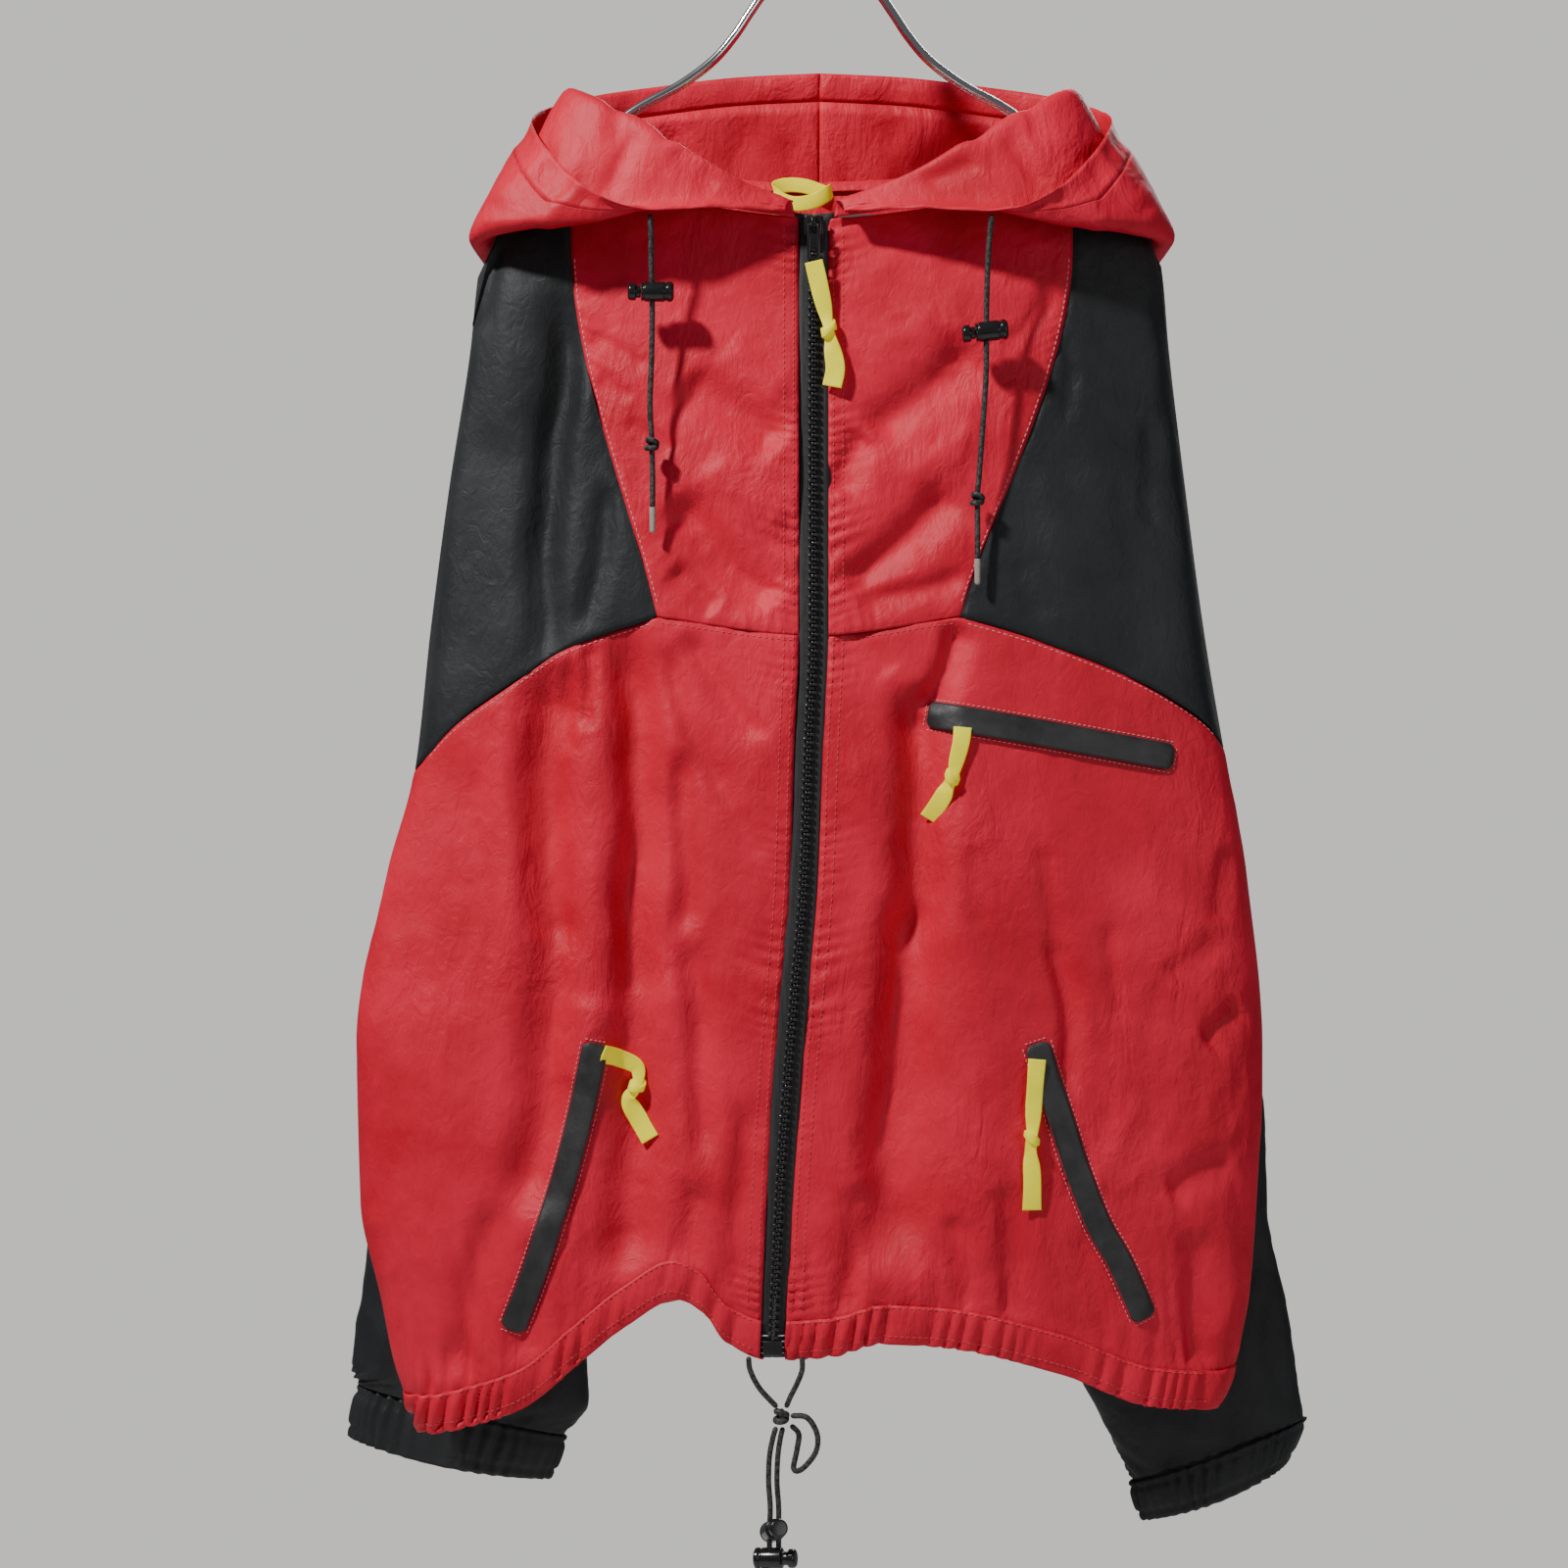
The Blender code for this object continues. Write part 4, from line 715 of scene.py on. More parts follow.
def pressed(points, folds):
    """How far the folds of a table press the cloth in, in millimetres, at an array of points.

    A hung fold leans over: one wall is steep and the other one slopes away, wider by FAR_WALL.
    """
    x, z = points[..., 0], points[..., 2]
    total = np.zeros(x.shape)
    for x0, z0, x1, z1, half, depth in folds:
        run = math.hypot(x1 - x0, z1 - z0)
        ux, uz = (x1 - x0) / run, (z1 - z0) / run
        lean = 1 if 0.8 * -ux - 0.6 * uz > 0 else -1
        along = ((x - x0) * ux + (z - z0) * uz) / run
        wander = 2.4 * np.sin(along * run / 31.0 + x0) + 1.3 * np.sin(along * run / 12.0 + z0)
        across = lean * ((x - x0) * uz - (z - z0) * ux + wander) / half
        across = np.where(across > 0, across, across / FAR_WALL)
        fade = np.clip(FADE_RISE * np.sin(np.pi * np.clip(along, 0, 1)), 0, 1)
        fade = fade * fade * (3 - 2 * fade)
        total += FOLD_DEPTH * depth * fade * np.exp(-np.abs(across) ** 2.0)
    return total


def crumple(points, seed, grain=(1.0, 1.0, 1.0)):
    """Shallow pillows and creases, in millimetres; a larger grain draws them out along that axis."""
    out = np.zeros(points.shape[:2])
    for i in range(points.shape[0]):
        for j in range(points.shape[1]):
            x, y, z = points[i, j]
            v = Vector((x / grain[0] + seed * 37.0, y / grain[1], z / grain[2]))
            bent = v + noise.noise_vector(v / 46.0) * 16.0
            patch_of = 0.5 + 0.5 * noise.noise(v / 70.0 + Vector((5, 1, seed)))
            broad = noise.noise(v / 95.0 + Vector((seed, 9, 2)))
            swell = noise.noise(bent / 40.0)
            crease = 0.38 - abs(noise.noise(bent / 21.0))
            small = abs(noise.noise(bent / 8.5)) - 0.3
            out[i, j] = (3.6 * broad + 1.5 * swell + (0.5 + 1.6 * patch_of) * crease
                         + (0.10 + 0.9 * patch_of ** 2) * small)
    return out


def gather(x, pitch=12.0):
    """Irregular gathers along x: round ridges with sharp valleys, about zero on average."""
    phase = x / pitch + 0.55 * np.sin(x / 17.0) + 0.30 * np.sin(x / 7.3 + 2.0)
    size = 0.75 + 0.45 * np.sin(x / 41.0 + 1.0) + 0.25 * np.sin(x / 13.0)
    return (np.abs(np.sin(np.pi * phase)) - 0.64) * size * 1.6


def edge_distances(points):
    """Distance of every grid point from the first row, last row, first column and last column."""
    down = np.linalg.norm(np.diff(points, axis=0), axis=2)
    over = np.linalg.norm(np.diff(points, axis=1), axis=2)
    rows = np.vstack([np.zeros((1, points.shape[1])), np.cumsum(down, axis=0)])
    columns = np.hstack([np.zeros((points.shape[0], 1)), np.cumsum(over, axis=1)])
    return {"top": (rows, columns), "foot": (rows[-1:] - rows, columns),
            "first": (columns, rows), "last": (columns[:, -1:] - columns, rows)}


def seams(points, table):
    """Cloth pulled in along its sewn edges; columns: edge, pull, pucker, pucker length, reach."""
    total = np.zeros(points.shape[:2])
    distances = edge_distances(points)
    for edge, pull, pucker, pitch, reach in table:
        away, along = distances[edge]
        phase = along / pitch + 0.55 * np.sin(along / 21.0) + 0.4 * np.sin(along / 8.3 + pitch)
        patchy = np.clip(0.55 + 0.5 * np.sin(along / 37.0 + pitch) + 0.35 * np.sin(along / 15.0), 0.1, 1.3)
        ripple = np.sin(2 * np.pi * phase + away / 7.0) * patchy
        reach = reach * (0.6 + 0.6 * patchy)
        total -= pull * np.exp(-(away / 2.6) ** 2)
        total += pucker * ripple * np.exp(-away / reach) * (1 - np.exp(-away / 1.5))
    return total


def normals_of(points):
    """Unit normals of a grid, turned by its own rows and columns."""
    down = np.gradient(points, axis=0)
    over = np.gradient(points, axis=1)
    normal = np.cross(over, down)
    length = np.linalg.norm(normal, axis=2, keepdims=True)
    return normal / np.maximum(length, 1e-9)


def as_array(grid):
    return np.array([[tuple(p) for p in row] for row in grid], dtype=float)


# %% [markdown]
# ## From a grid to a sewn panel
# A panel is a grid of points with its relief pushed in or out along the normals. Grids
# that share an edge are welded there. The cloth itself is a Solidify modifier, which
# gives the sheet its second side without a second set of points to look after.

# %% Panels
NYLON_THICK = 0.45


def panel(name, grids, finish, nodes, slot, thick=NYLON_THICK):
    points, number, faces = [], {}, []
    for grid in grids:
        index = []
        for row in grid:
            line = []
            for p in row:
                key = tuple(round(float(v), 3) for v in p)
                if key not in number:
                    number[key] = len(points)
                    points.append(key)
                line.append(number[key])
            index.append(line)
        for row, below in zip(index, index[1:]):
            for a, b, c, d in zip(row, row[1:], below[1:], below):
                corners = list(dict.fromkeys((a, b, c, d)))
                if len(corners) > 2:
                    faces.append(corners)
    piece = finish_piece(name, mesh_of(name, points, faces), finish, nodes=nodes, slot=slot)
    if thick:
        second = piece.modifiers.new("cloth thickness", "SOLIDIFY")
        second.thickness = thick * MM
        second.offset = -1
    print(name, len(faces), "faces")
    return piece


def facing(grids, outward):
    """The grids with their faces turned out; outward is -1 where over x down points inward."""
    return [grid if outward > 0 else grid[:, ::-1] for grid in grids]


def patch(span, top, foot, columns, rows, side):
    """Grid of body points; span(u, z) gives x, and top and foot give heights from x."""
    grid = [[None] * (columns + 1) for _ in range(rows + 1)]
    for i in range(columns + 1):
        u = i / columns
        high = low = -500.0
        for _ in range(12):
            high, low = top(span(u, high)), foot(span(u, low))
        for j in range(rows + 1):
            z = mix(high, low, j / rows)
            grid[j][i] = body_point(span(u, z), z, side)
    return as_array(grid)


def eased(u):
    """Fractions that crowd towards the end, for a span that ends at the side edge."""
    return math.sin(math.pi * u / 2)


def relieved(points, outward, folds=(), sewn=(), seed=1, grain=(1, 1, 1), depth=1.0, weld=(), gathered=0.0):
    """The grid with its relief; outward is +1 or -1 for the side that its normals should face."""
    amount = depth * crumple(points, seed, grain) + seams(points, sewn) - pressed(points, folds)
    distances = edge_distances(points)
    if gathered:
        above = distances["foot"][0]
        amount += gathered * gather(points[..., 0]) * np.exp(-above / 20.0)
        amount += 0.9 * gathered * gather(points[..., 0] + 0.12 * above, 27.0) * np.exp(-above / 58.0)
    for edge in weld:
        amount *= 1 - np.exp(-(distances[edge][0] / 7.0) ** 2)
    return points + normals_of(points) * (amount * outward)[..., None]


# %% [markdown]
# ## The nylon itself
# Thin nylon is neither matt nor bright, so its roughness is middling and its shine is
# low. It is crushed in patches: a coarse crinkle is let through only where a wider
# noise is high. Finer creases, crazing and the weave lie all over it.

# %% Nylon finishes
CRUSHED_FROM = 0.40               # below this value of the wide noise there is no crinkle
CRUSHED_TO = 0.62                 # above this one it is at its full depth


def nylon_finish(name, dark, light, roughness, sheen, crushed):
    finish, tree, shader = new_finish(name, light, roughness, sheen=sheen)
    shader.inputs["Specular IOR Level"].default_value = 0.3
    place = place_on(tree)
    wide = texture(tree, "ShaderNodeTexNoise", place, Scale=16.0, Detail=5.0, Roughness=0.6)
    uneven_colour(tree, shader, wide.outputs["Fac"], dark, light)
    uneven_gloss(tree, shader, wide.outputs["Fac"], roughness - 0.07, roughness + 0.09)
    crinkle = texture(tree, "ShaderNodeTexNoise", place_on(tree, (1.0, 1.0, 0.4)), Scale=50.0, Detail=5.0,
                      Roughness=0.62, Distortion=1.0)
    patches = texture(tree, "ShaderNodeTexNoise", place_on(tree, (1.0, 1.0, 0.8)), Scale=9.0, Detail=2.0)
    where = tree.nodes.new("ShaderNodeMapRange")
    where.inputs["From Min"].default_value = CRUSHED_FROM
    where.inputs["From Max"].default_value = CRUSHED_TO
    tree.links.new(patches.outputs["Fac"], where.inputs["Value"])
    crushing = tree.nodes.new("ShaderNodeMath")
    crushing.operation = "MULTIPLY"
    tree.links.new(crinkle.outputs["Fac"], crushing.inputs[0])
    tree.links.new(where.outputs["Result"], crushing.inputs[1])
    crease = texture(tree, "ShaderNodeTexNoise", place_on(tree, (1.0, 1.0, 0.7)), Scale=120.0, Detail=4.0,
                     Roughness=0.55, Distortion=1.4)
    crazing = texture(tree, "ShaderNodeTexVoronoi", place_on(tree, (1.0, 1.0, 0.8)), Scale=150.0)
    crazing.feature = "DISTANCE_TO_EDGE"
    weave = texture(tree, "ShaderNodeTexNoise", place_on(tree, (1.0, 1.0, 0.25)), Scale=2400.0, Detail=2.0)
    raise_by(tree, shader, [(crushing.outputs["Value"], 0.5, crushed), (crease.outputs["Fac"], 0.42, 0.0017),
                            (crazing.outputs["Distance"], 0.06, 0.0006),
                            (weave.outputs["Fac"], 0.25, 0.00025)])
    return finish


RED_NYLON = nylon_finish("red_nylon", (0.56, 0.006, 0.024), (0.80, 0.017, 0.052), 0.55, 0.0, 0.0065)
BLACK_NYLON = nylon_finish("charcoal_nylon", (0.014, 0.015, 0.016), (0.027, 0.029, 0.031), 0.56, 0.08, 0.0030)
print("nylon finishes made")

# %% [markdown]
# ## Chest and front panels
# Two small chest panels reach from the neck to the yoke seam, and two long fronts hang
# from there to the hem. The fronts wrap a little way round the sides. They pucker
# along the zip, because its tape doesn't shrink with the cloth when it is sewn in.

# %% Front of the jacket
TUCK = 8.0            # how far the panels go on behind the sleeves
UNDER = 3.0           # the panels' lower edge lies this far under the hem casing
ZIP_PUCKER = ("first", 0.4, 1.2, 9.0, 9.0)
LONG_GRAIN = (1, 1, 1.8)
HEM_GATHER = 1.9
FRONT_ROWS = 236


def panel_foot(x, side):
    return hem_z(x, side) + CASING - UNDER


for hand, word in ((-1, "right"), (1, "left")):
    def beside_zip(z):
        return zip_x(z) + hand * (tape_half(z) + 0.3)

    def chest_span(u, z):
        return mix(beside_zip(z), raglan_x(z, hand), u)

    chest = patch(chest_span, lambda x: neck_z(x, -1), lambda x: seam_z(x, hand), 60, 165, -1)
    chest = relieved(chest, -hand, CHEST_FOLDS, [ZIP_PUCKER, ("last", 0.7, 0.35, 11.0, 7.0),
                     ("foot", 0.8, 0.5, 9.0, 9.0)], seed=2 + hand, depth=0.75)
    panel("chest_panel_" + word, facing([chest], -hand), RED_NYLON, ["chest_" + word], "red_nylon")

    def front_span(u, z):
        return mix(beside_zip(z), edge_x(z, hand), eased(u))

    def wrap_span(u, z):
        return edge_x(z, hand) - hand * SIDE_WRAP * u * u

    front = patch(front_span, lambda x: seam_z(x, hand), lambda x: panel_foot(x, -1), 118, FRONT_ROWS, -1)
    wrap = patch(wrap_span, lambda x: armhole_z(x, hand) - TUCK, lambda x: panel_foot(x, 1), 6, FRONT_ROWS, 1)
    wrap[:, 0] = front[:, -1]
    front = relieved(front, -hand, FRONT_FOLDS_FINE,
                     [ZIP_PUCKER, ("top", 0.8, 0.4, 10.0, 8.0), ("foot", 0.3, 0.0, 10.0, 9.0)],
                     seed=5 + hand, grain=LONG_GRAIN, depth=0.9, weld=["last", "foot"], gathered=HEM_GATHER)
    wrap[:, 0] = front[:, -1]
    panel("front_panel_" + word, facing([front, wrap], -hand), RED_NYLON, ["front_" + word], "red_nylon")

# %% [markdown]
# ## Back and yoke
# The photograph doesn't show the back. It follows the fronts: a yoke between the
# raglan seams, and one wide panel below it with folds of the same depth.

# %% Back of the jacket
def yoke_z(x):
    return spline(YOKE, x, 1)


def yoke_span(u, z):
    return mix(raglan_x(z, -1), raglan_x(z, 1), u)


yoke = patch(yoke_span, lambda x: neck_z(x, 1), yoke_z, 78, 80, 1)
yoke = relieved(yoke, -1, BACK_FOLDS_FINE,
                [("first", 0.7, 0.3, 11.0, 7.0), ("last", 0.7, 0.3, 11.0, 7.0),
                 ("foot", 0.8, 0.5, 10.0, 9.0)],
                seed=11, depth=0.75)
panel("yoke_panel", facing([yoke], -1), RED_NYLON, ["back_yoke"], "red_nylon")


def side_seam(z, hand):
    return edge_x(z, hand) - hand * SIDE_WRAP


def back_foot(x):
    return panel_foot(x, 1)


inner = (ARMHOLE_RIGHT[-1][0] + 1.0, ARMHOLE_LEFT[0][0] - 1.0)
BACK_ROWS = 118
back_right = patch(lambda u, z: mix(side_seam(z, -1), inner[0], u), lambda x: armhole_z(x, -1) - TUCK,
                   back_foot, 40, BACK_ROWS, 1)
back_middle = patch(lambda u, z: mix(inner[0], inner[1], u), yoke_z, back_foot, 52, BACK_ROWS, 1)
back_left = patch(lambda u, z: mix(inner[1], side_seam(z, 1), u), lambda x: armhole_z(x, 1) - TUCK,
                  back_foot, 40, BACK_ROWS, 1)
back_right[:, -1] = back_middle[:, 0]
back_left[:, 0] = back_middle[:, -1]
whole = np.hstack([back_right[:, :-1], back_middle, back_left[:, 1:]])
whole = relieved(whole, -1, BACK_FOLDS_FINE, [("top", 0.6, 0.5, 10.0, 9.0), ("foot", 0.3, 0.0, 10.0, 9.0),
                 ("first", 0.6, 0.4, 11.0, 7.0), ("last", 0.6, 0.4, 11.0, 7.0)],
                 seed=13, grain=LONG_GRAIN, depth=0.9, weld=["foot"], gathered=HEM_GATHER)
panel("back_panel", facing([whole], -1), RED_NYLON, ["back"], "red_nylon")

# %% [markdown]
# ## Gathered hem
# The hem is a channel for the drawcord: a strip folded over and stitched, gathered by
# the cord inside. Its lower edge rolls under, so the grid goes on a few rows inward.

# %% Hem casing
PLEAT = 12.0          # millimetres between gathers
PLEAT_DEPTH = 2.0
PLEAT_SAMPLES = 8
CASING_ROWS = 10
ROLL = [(0.8, -1.6), (2.6, -2.0), (4.2, -0.6), (4.8, 2.6)]      # the edge's roll: inward, upward


def casing_swell(x, v):
    """Rise of the gathered casing at x; v runs from its stitching to its edge."""
    body = 0.55 + 0.75 * math.sin(math.pi * min(v * 0.62 + 0.05, 1.0)) - 0.35 * math.exp(-(v / 0.06) ** 2)
    return 1.0 + PLEAT_DEPTH * float(gather(x + 5 * v)) * body + 0.9 * math.sin(math.pi * v) ** 0.7


def casing_grid(span, low, side, width, wrap=None):
    columns = int(width / PLEAT * PLEAT_SAMPLES)
    grid = []
    for row in range(CASING_ROWS + 1):
        v = row / CASING_ROWS
        line = []
        for i in range(columns + 1):
            u, z = i / columns, -950.0
            for _ in range(12):
                z = low(span(u, z)) + CASING * (1 - v)
            here, normal = body_place(span(u, z), z, side)
            line.append(np.array(here) + normal * casing_swell(here[0], v))
        if wrap:
            for step in range(1, 7):
                z = wrap[1](line[-1][0]) + CASING * (1 - v)
                z = mix(line[-1][2], z, 0.3)
                here, normal = body_place(wrap[0](step / 6, z), z, 1)
                line.append(np.array(here) + normal * casing_swell(here[0], v) * (1 - 0.12 * step))
        grid.append(line)
    centre = np.array([0.0, -4.0, 0.0])
    foot = grid[-1]
    for inward, up in ROLL:
        line = []
        for p in foot:
            away = p - centre
            away[2] = 0
            away /= np.linalg.norm(away)
            line.append(p - away * inward + np.array([0, 0, up]))
        grid.append(line)
    return np.array(grid)


def body_place(x, z, side):
    """Point of the body's surface with its outward normal."""
    here = np.array(body_point(x, z, side))
    step = 1.5
    over = np.array(body_point(x + step, z, side)) - np.array(body_point(x - step, z, side))
    down = np.array(body_point(x, z - step, side)) - np.array(body_point(x, z + step, side))
    normal = np.cross(over, down) * (1 if side > 0 else -1) * -1
    if normal[1] * side < 0:
        normal = -normal
    return here, normal / max(np.linalg.norm(normal), 1e-9)


for hand, word in ((-1, "right"), (1, "left")):
    def casing_span(u, z):
        return mix(zip_x(z) + hand * (tape_half(z) + 0.3), edge_x(z, hand), 1 - (1 - u) ** 1.4)

    def casing_wrap(u, z):
        return edge_x(z, hand) - hand * SIDE_WRAP * u * u

    casing = casing_grid(casing_span, lambda x: hem_z(x, -1), -1, 240, (casing_wrap, lambda x: hem_z(x, 1)))
    panel("hem_casing_" + word, facing([casing], -hand), RED_NYLON, ["hem_front_" + word], "red_nylon")

casing = casing_grid(lambda u, z: mix(side_seam(z, -1), side_seam(z, 1), u), lambda x: hem_z(x, 1), 1, 460)
panel("hem_casing_back", facing([casing], -1), RED_NYLON, ["hem_back"], "red_nylon")

# %% [markdown]
# ## Raglan sleeves
# A raglan sleeve runs in one piece from the neck over the shoulder and down the arm.
# Its shoulder part follows the body; from the armhole it becomes a flattened tube
# whose outline a table gives ring by ring. The upper rings bend from the armhole's
# line into that outline, so the two parts meet point for point.

# %% Sleeves
SLEEVE_COLUMNS = 34
TUBE_RINGS = 120


def sleeve_rings(table, first):
    half = SLEEVE_COLUMNS
    rows = [(k,) + row for k, row in enumerate(table)]
    rings = []
    for n in range(TUBE_RINGS + 1):
        w = (len(table) - 1) * (n / TUBE_RINGS) ** 1.25
        xo, zo, xi, zi, yc, hd = [spline(rows, w, c) for c in range(1, 7)]
        fade = max(1 - w, 0.0) ** 2
        ring = []
        for i in range(2 * half):
            theta = math.pi * i / half
            f = (1 - math.cos(theta)) / 2
            back = i <= half
            depth = hd * abs(math.sin(theta)) ** 0.8
            here = np.array([mix(xo, xi, f), yc + (depth if back else -depth), mix(zo, zi, f)])
            start, at_back, at_front = first[i] if back else first[2 * half - i]
            here[0] += (start[0] - mix(table[0][0], table[0][2], f)) * fade
            here[2] += (start[2] - mix(table[0][1], table[0][3], f)) * fade
            here[1] = mix(here[1], at_back if back else at_front, fade)
            ring.append(here)
        rings.append(ring + ring[:1])
    return np.array(rings)


for hand, word, table in ((-1, "right", SLEEVE_RIGHT), (1, "left", SLEEVE_LEFT)):
    def shoulder_span(u, z):
        return mix(edge_x(z, hand), raglan_x(z, hand), eased(u))

    def shoulder_top(x):
        return spline(RIDGE, abs(x), 1)

    def shoulder_foot(x):
        return armhole_z(x, hand) + 2.0 * max(0.0, (abs(x) - 236) / 12)

    columns, rows = SLEEVE_COLUMNS, 84
    shoulder = patch(shoulder_span, shoulder_top, shoulder_foot, columns, rows, -1)
    behind = patch(shoulder_span, shoulder_top, shoulder_foot, columns, rows, 1)
    across = np.sin(np.pi * np.arange(columns + 1) / columns).clip(0) ** 0.7
    behind[:, :, 1] += 16 * ((np.arange(rows + 1) / rows) ** 2)[:, None] * across[None, :]
    behind[:, 0] = shoulder[:, 0]
    behind[0] = shoulder[0]
    first = []
    for i in range(columns + 1):
        place = behind[-1, i]
        inside = body_point(place[0], place[2], 1)[1]
        first.append((place, place[1], place[1] if i in (0, columns) else inside))
    tube = sleeve_rings(table, first)
    tube[0, :columns + 1] = behind[-1]
    sewn = [("last", 0.8, 0.5, 11.0, 8.0), ("foot", 0.8, 0.4, 10.0, 7.0)]
    shoulder = relieved(shoulder, hand, SHOULDER_FOLDS, sewn, seed=21 + hand, depth=0.5,
                        weld=["first", "top"])
    behind = relieved(behind, -hand, SHOULDER_FOLDS, sewn[:1], seed=24 + hand, depth=0.5,
                      weld=["first", "top", "foot"])
    tube = relieved(tube, -hand, SLEEVE_FOLDS, [("foot", 0.0, 1.6, 11.0, 24.0)], seed=27 + hand,
                    depth=0.9, weld=["top"])
    middle = (tube[:, 0] + tube[:, -1]) / 2
    tube[:, 0] = tube[:, -1] = middle
    tube[0, -1] = tube[0, 0] = behind[-1, 0]
    panel("sleeve_panel_" + word, facing([shoulder], hand) + facing([behind, tube], -hand),
          BLACK_NYLON, ["sleeve_" + word], "charcoal_nylon")

# %% [markdown]
# ## Elastic cuffs
# Elastic in a casing draws each sleeve's end into many small gathers, tighter than the
# hem's. Two rows of stitching hold it; the cloth dips at each.

# %% Cuffs
CUFF_GATHERS = 36
CUFF_ROWS = 14
for hand, word, table in ((-1, "right", CUFF_RIGHT), (1, "left", CUFF_LEFT)):
    around = CUFF_GATHERS * 6
    grid = []
    for row in range(CUFF_ROWS + 4):
        t = min(row / CUFF_ROWS, 1.0)
        tuck = max(row - CUFF_ROWS, 0)
        xo, zo, xi, zi, yc, hd = [mix(table[0][c], table[1][c], t) for c in range(6)]
        across = np.array([xi - xo, 0, zi - zo])
        across /= np.linalg.norm(across)
        up = np.array([-across[2], 0, across[0]])
        up *= 1 if up[2] > 0 else -1
        line = []
        for i in range(around):
            theta = 2 * math.pi * i / around
            f = (1 - math.cos(theta)) / 2
            turn = 2 * math.pi * i / 6 + 1.1 * math.sin(0.13 * i) + 0.5 * math.sin(0.31 * i + 3 * t)
            stitched = math.exp(-((t - 0.16) / 0.05) ** 2) + math.exp(-((t - 0.80) / 0.05) ** 2)
            gather = 1.35 * math.sin(turn) * (0.7 + 0.5 * math.sin(0.17 * i + 1)) * (1 - 0.45 * stitched)
            swell = 1.9 * math.sin(math.pi * min(t * 1.04, 1.0)) ** 0.6 - 1.2 * stitched
            outward = -across * math.cos(theta) + np.array([0, math.sin(theta), 0])
            here = np.array([mix(xo, xi, f), yc + hd * math.sin(theta), mix(zo, zi, f)])
            here += up * (-3.5 * math.sin(math.pi * f) * t + 1.4 * tuck)
            here += outward * (gather + swell - 1.5 * tuck)
            line.append(here)
        grid.append(line + line[:1])
    grid = np.array(grid)
    panel("cuff_band_" + word, facing([grid], -hand), BLACK_NYLON, ["cuff_" + word], "charcoal_nylon")

# %% [markdown]
# ## Hood
# The hood lies flipped back: from the neck seam the cloth climbs to a crest, falls
# outside it in a fat roll, turns under and comes up again to the rim. Ten sections
# from the zip round to the middle of the back carry five guiding points each, and a
# smooth curve runs through them. A rolled fold of thin cloth has a radius of some
# millimetres, so each sharp guide becomes a blunt pair.

# %% Hood's sections
FOLD_HALF = 6.0
RIM_BAND = 20.0
# From the zip round to the middle of the back: neck seam, crest, inner leg, lower fold and rim
HOOD_STATIONS = [
    ((-16, -27, -273), (-17, -30, -263), (-19, -35, -264), (-21, -38, -268), (-22, -39, -272)),
    ((-55, -27, -267), (-52, -32, -250), (-56, -39, -257), (-59, -42, -266), (-61, -49, -272)),
    ((-95, -26, -257), (-86, -33, -229), (-93, -41, -248), (-100, -45, -271), (-106, -57, -275)),
    ((-122, -19, -246), (-108, -29, -215), (-122, -40, -246), (-140, -47, -281), (-134, -60, -265)),
    ((-140, -14, -234), (-130, -24, -203), (-150, -35, -239), (-180, -42, -282), (-154, -47, -247)),
    ((-150, -7, -224), (-146, -13, -194), (-172, -17, -231), (-206, -22, -283), (-171, -26, -224)),
    ((-151, 2, -222), (-152, 3, -191), (-181, 3, -236), (-209, 7, -286), (-178, 8, -206)),
    ((-148, 12, -225), (-147, 18, -203), (-168, 32, -250), (-190, 52, -303), (-170, 42, -192)),
    ((-128, 20, -234), (-126, 28, -223), (-134, 48, -266), (-146, 82, -320), (-143, 62, -180)),
    ((-95, 24, -241), (-95, 32, -234), (-98, 54, -280), (-102, 96, -340), (-104, 72, -172)),
    ((-50, 25, -245), (-50, 33, -239), (-52, 57, -290), (-52, 101, -351), (-55, 77, -165)),
    ((-0.2, 25, -246), (-0.2, 33, -241), (-0.2, 58, -294), (-0.2, 102, -356), (-0.2, 78, -162)),
]


def hood_section(at):
    """The five guiding points of the hood's section at a place from 0, the zip, to 1, the back."""
    place = at * (len(HOOD_STATIONS) - 1)
    k = min(int(place), len(HOOD_STATIONS) - 2)
    t = place - k
    last = len(HOOD_STATIONS) - 1
    near = [HOOD_STATIONS[min(max(k + i, 0), last)] for i in (-1, 0, 1, 2)]
    return [curve_point(*[Vector(station[column]) for station in near], t) for column in range(5)]


def blunt(before, fold, after, along):
    """Two points in place of a fold's sharp one, to each side of it; along runs down the fold."""
    to_before, to_after = before - fold, after - fold
    inward = to_before.normalized() + to_after.normalized()
    width = min(FOLD_HALF, 0.35 * to_before.length, 0.35 * to_after.length) * min(inward.length, 1.0)
    inward.normalize()
    across = along.cross(inward).normalized()
    if across.dot(to_before - to_after) < 0:
        across = -across
    return [fold + across * width + inward * width * 0.5, fold - across * width + inward * width * 0.5]


def hood_guides(at):
    """Guiding points of the section with its sharp folds made blunt."""
    neck, crest, leg, low, rim = hood_section(at)
    before, after = hood_section(max(at - 0.02, 0)), hood_section(min(at + 0.02, 1))
    return ([neck] + blunt(neck, crest, leg, after[1] - before[1]) + [leg]
            + blunt(leg, low, rim, after[3] - before[3]) + [rim])


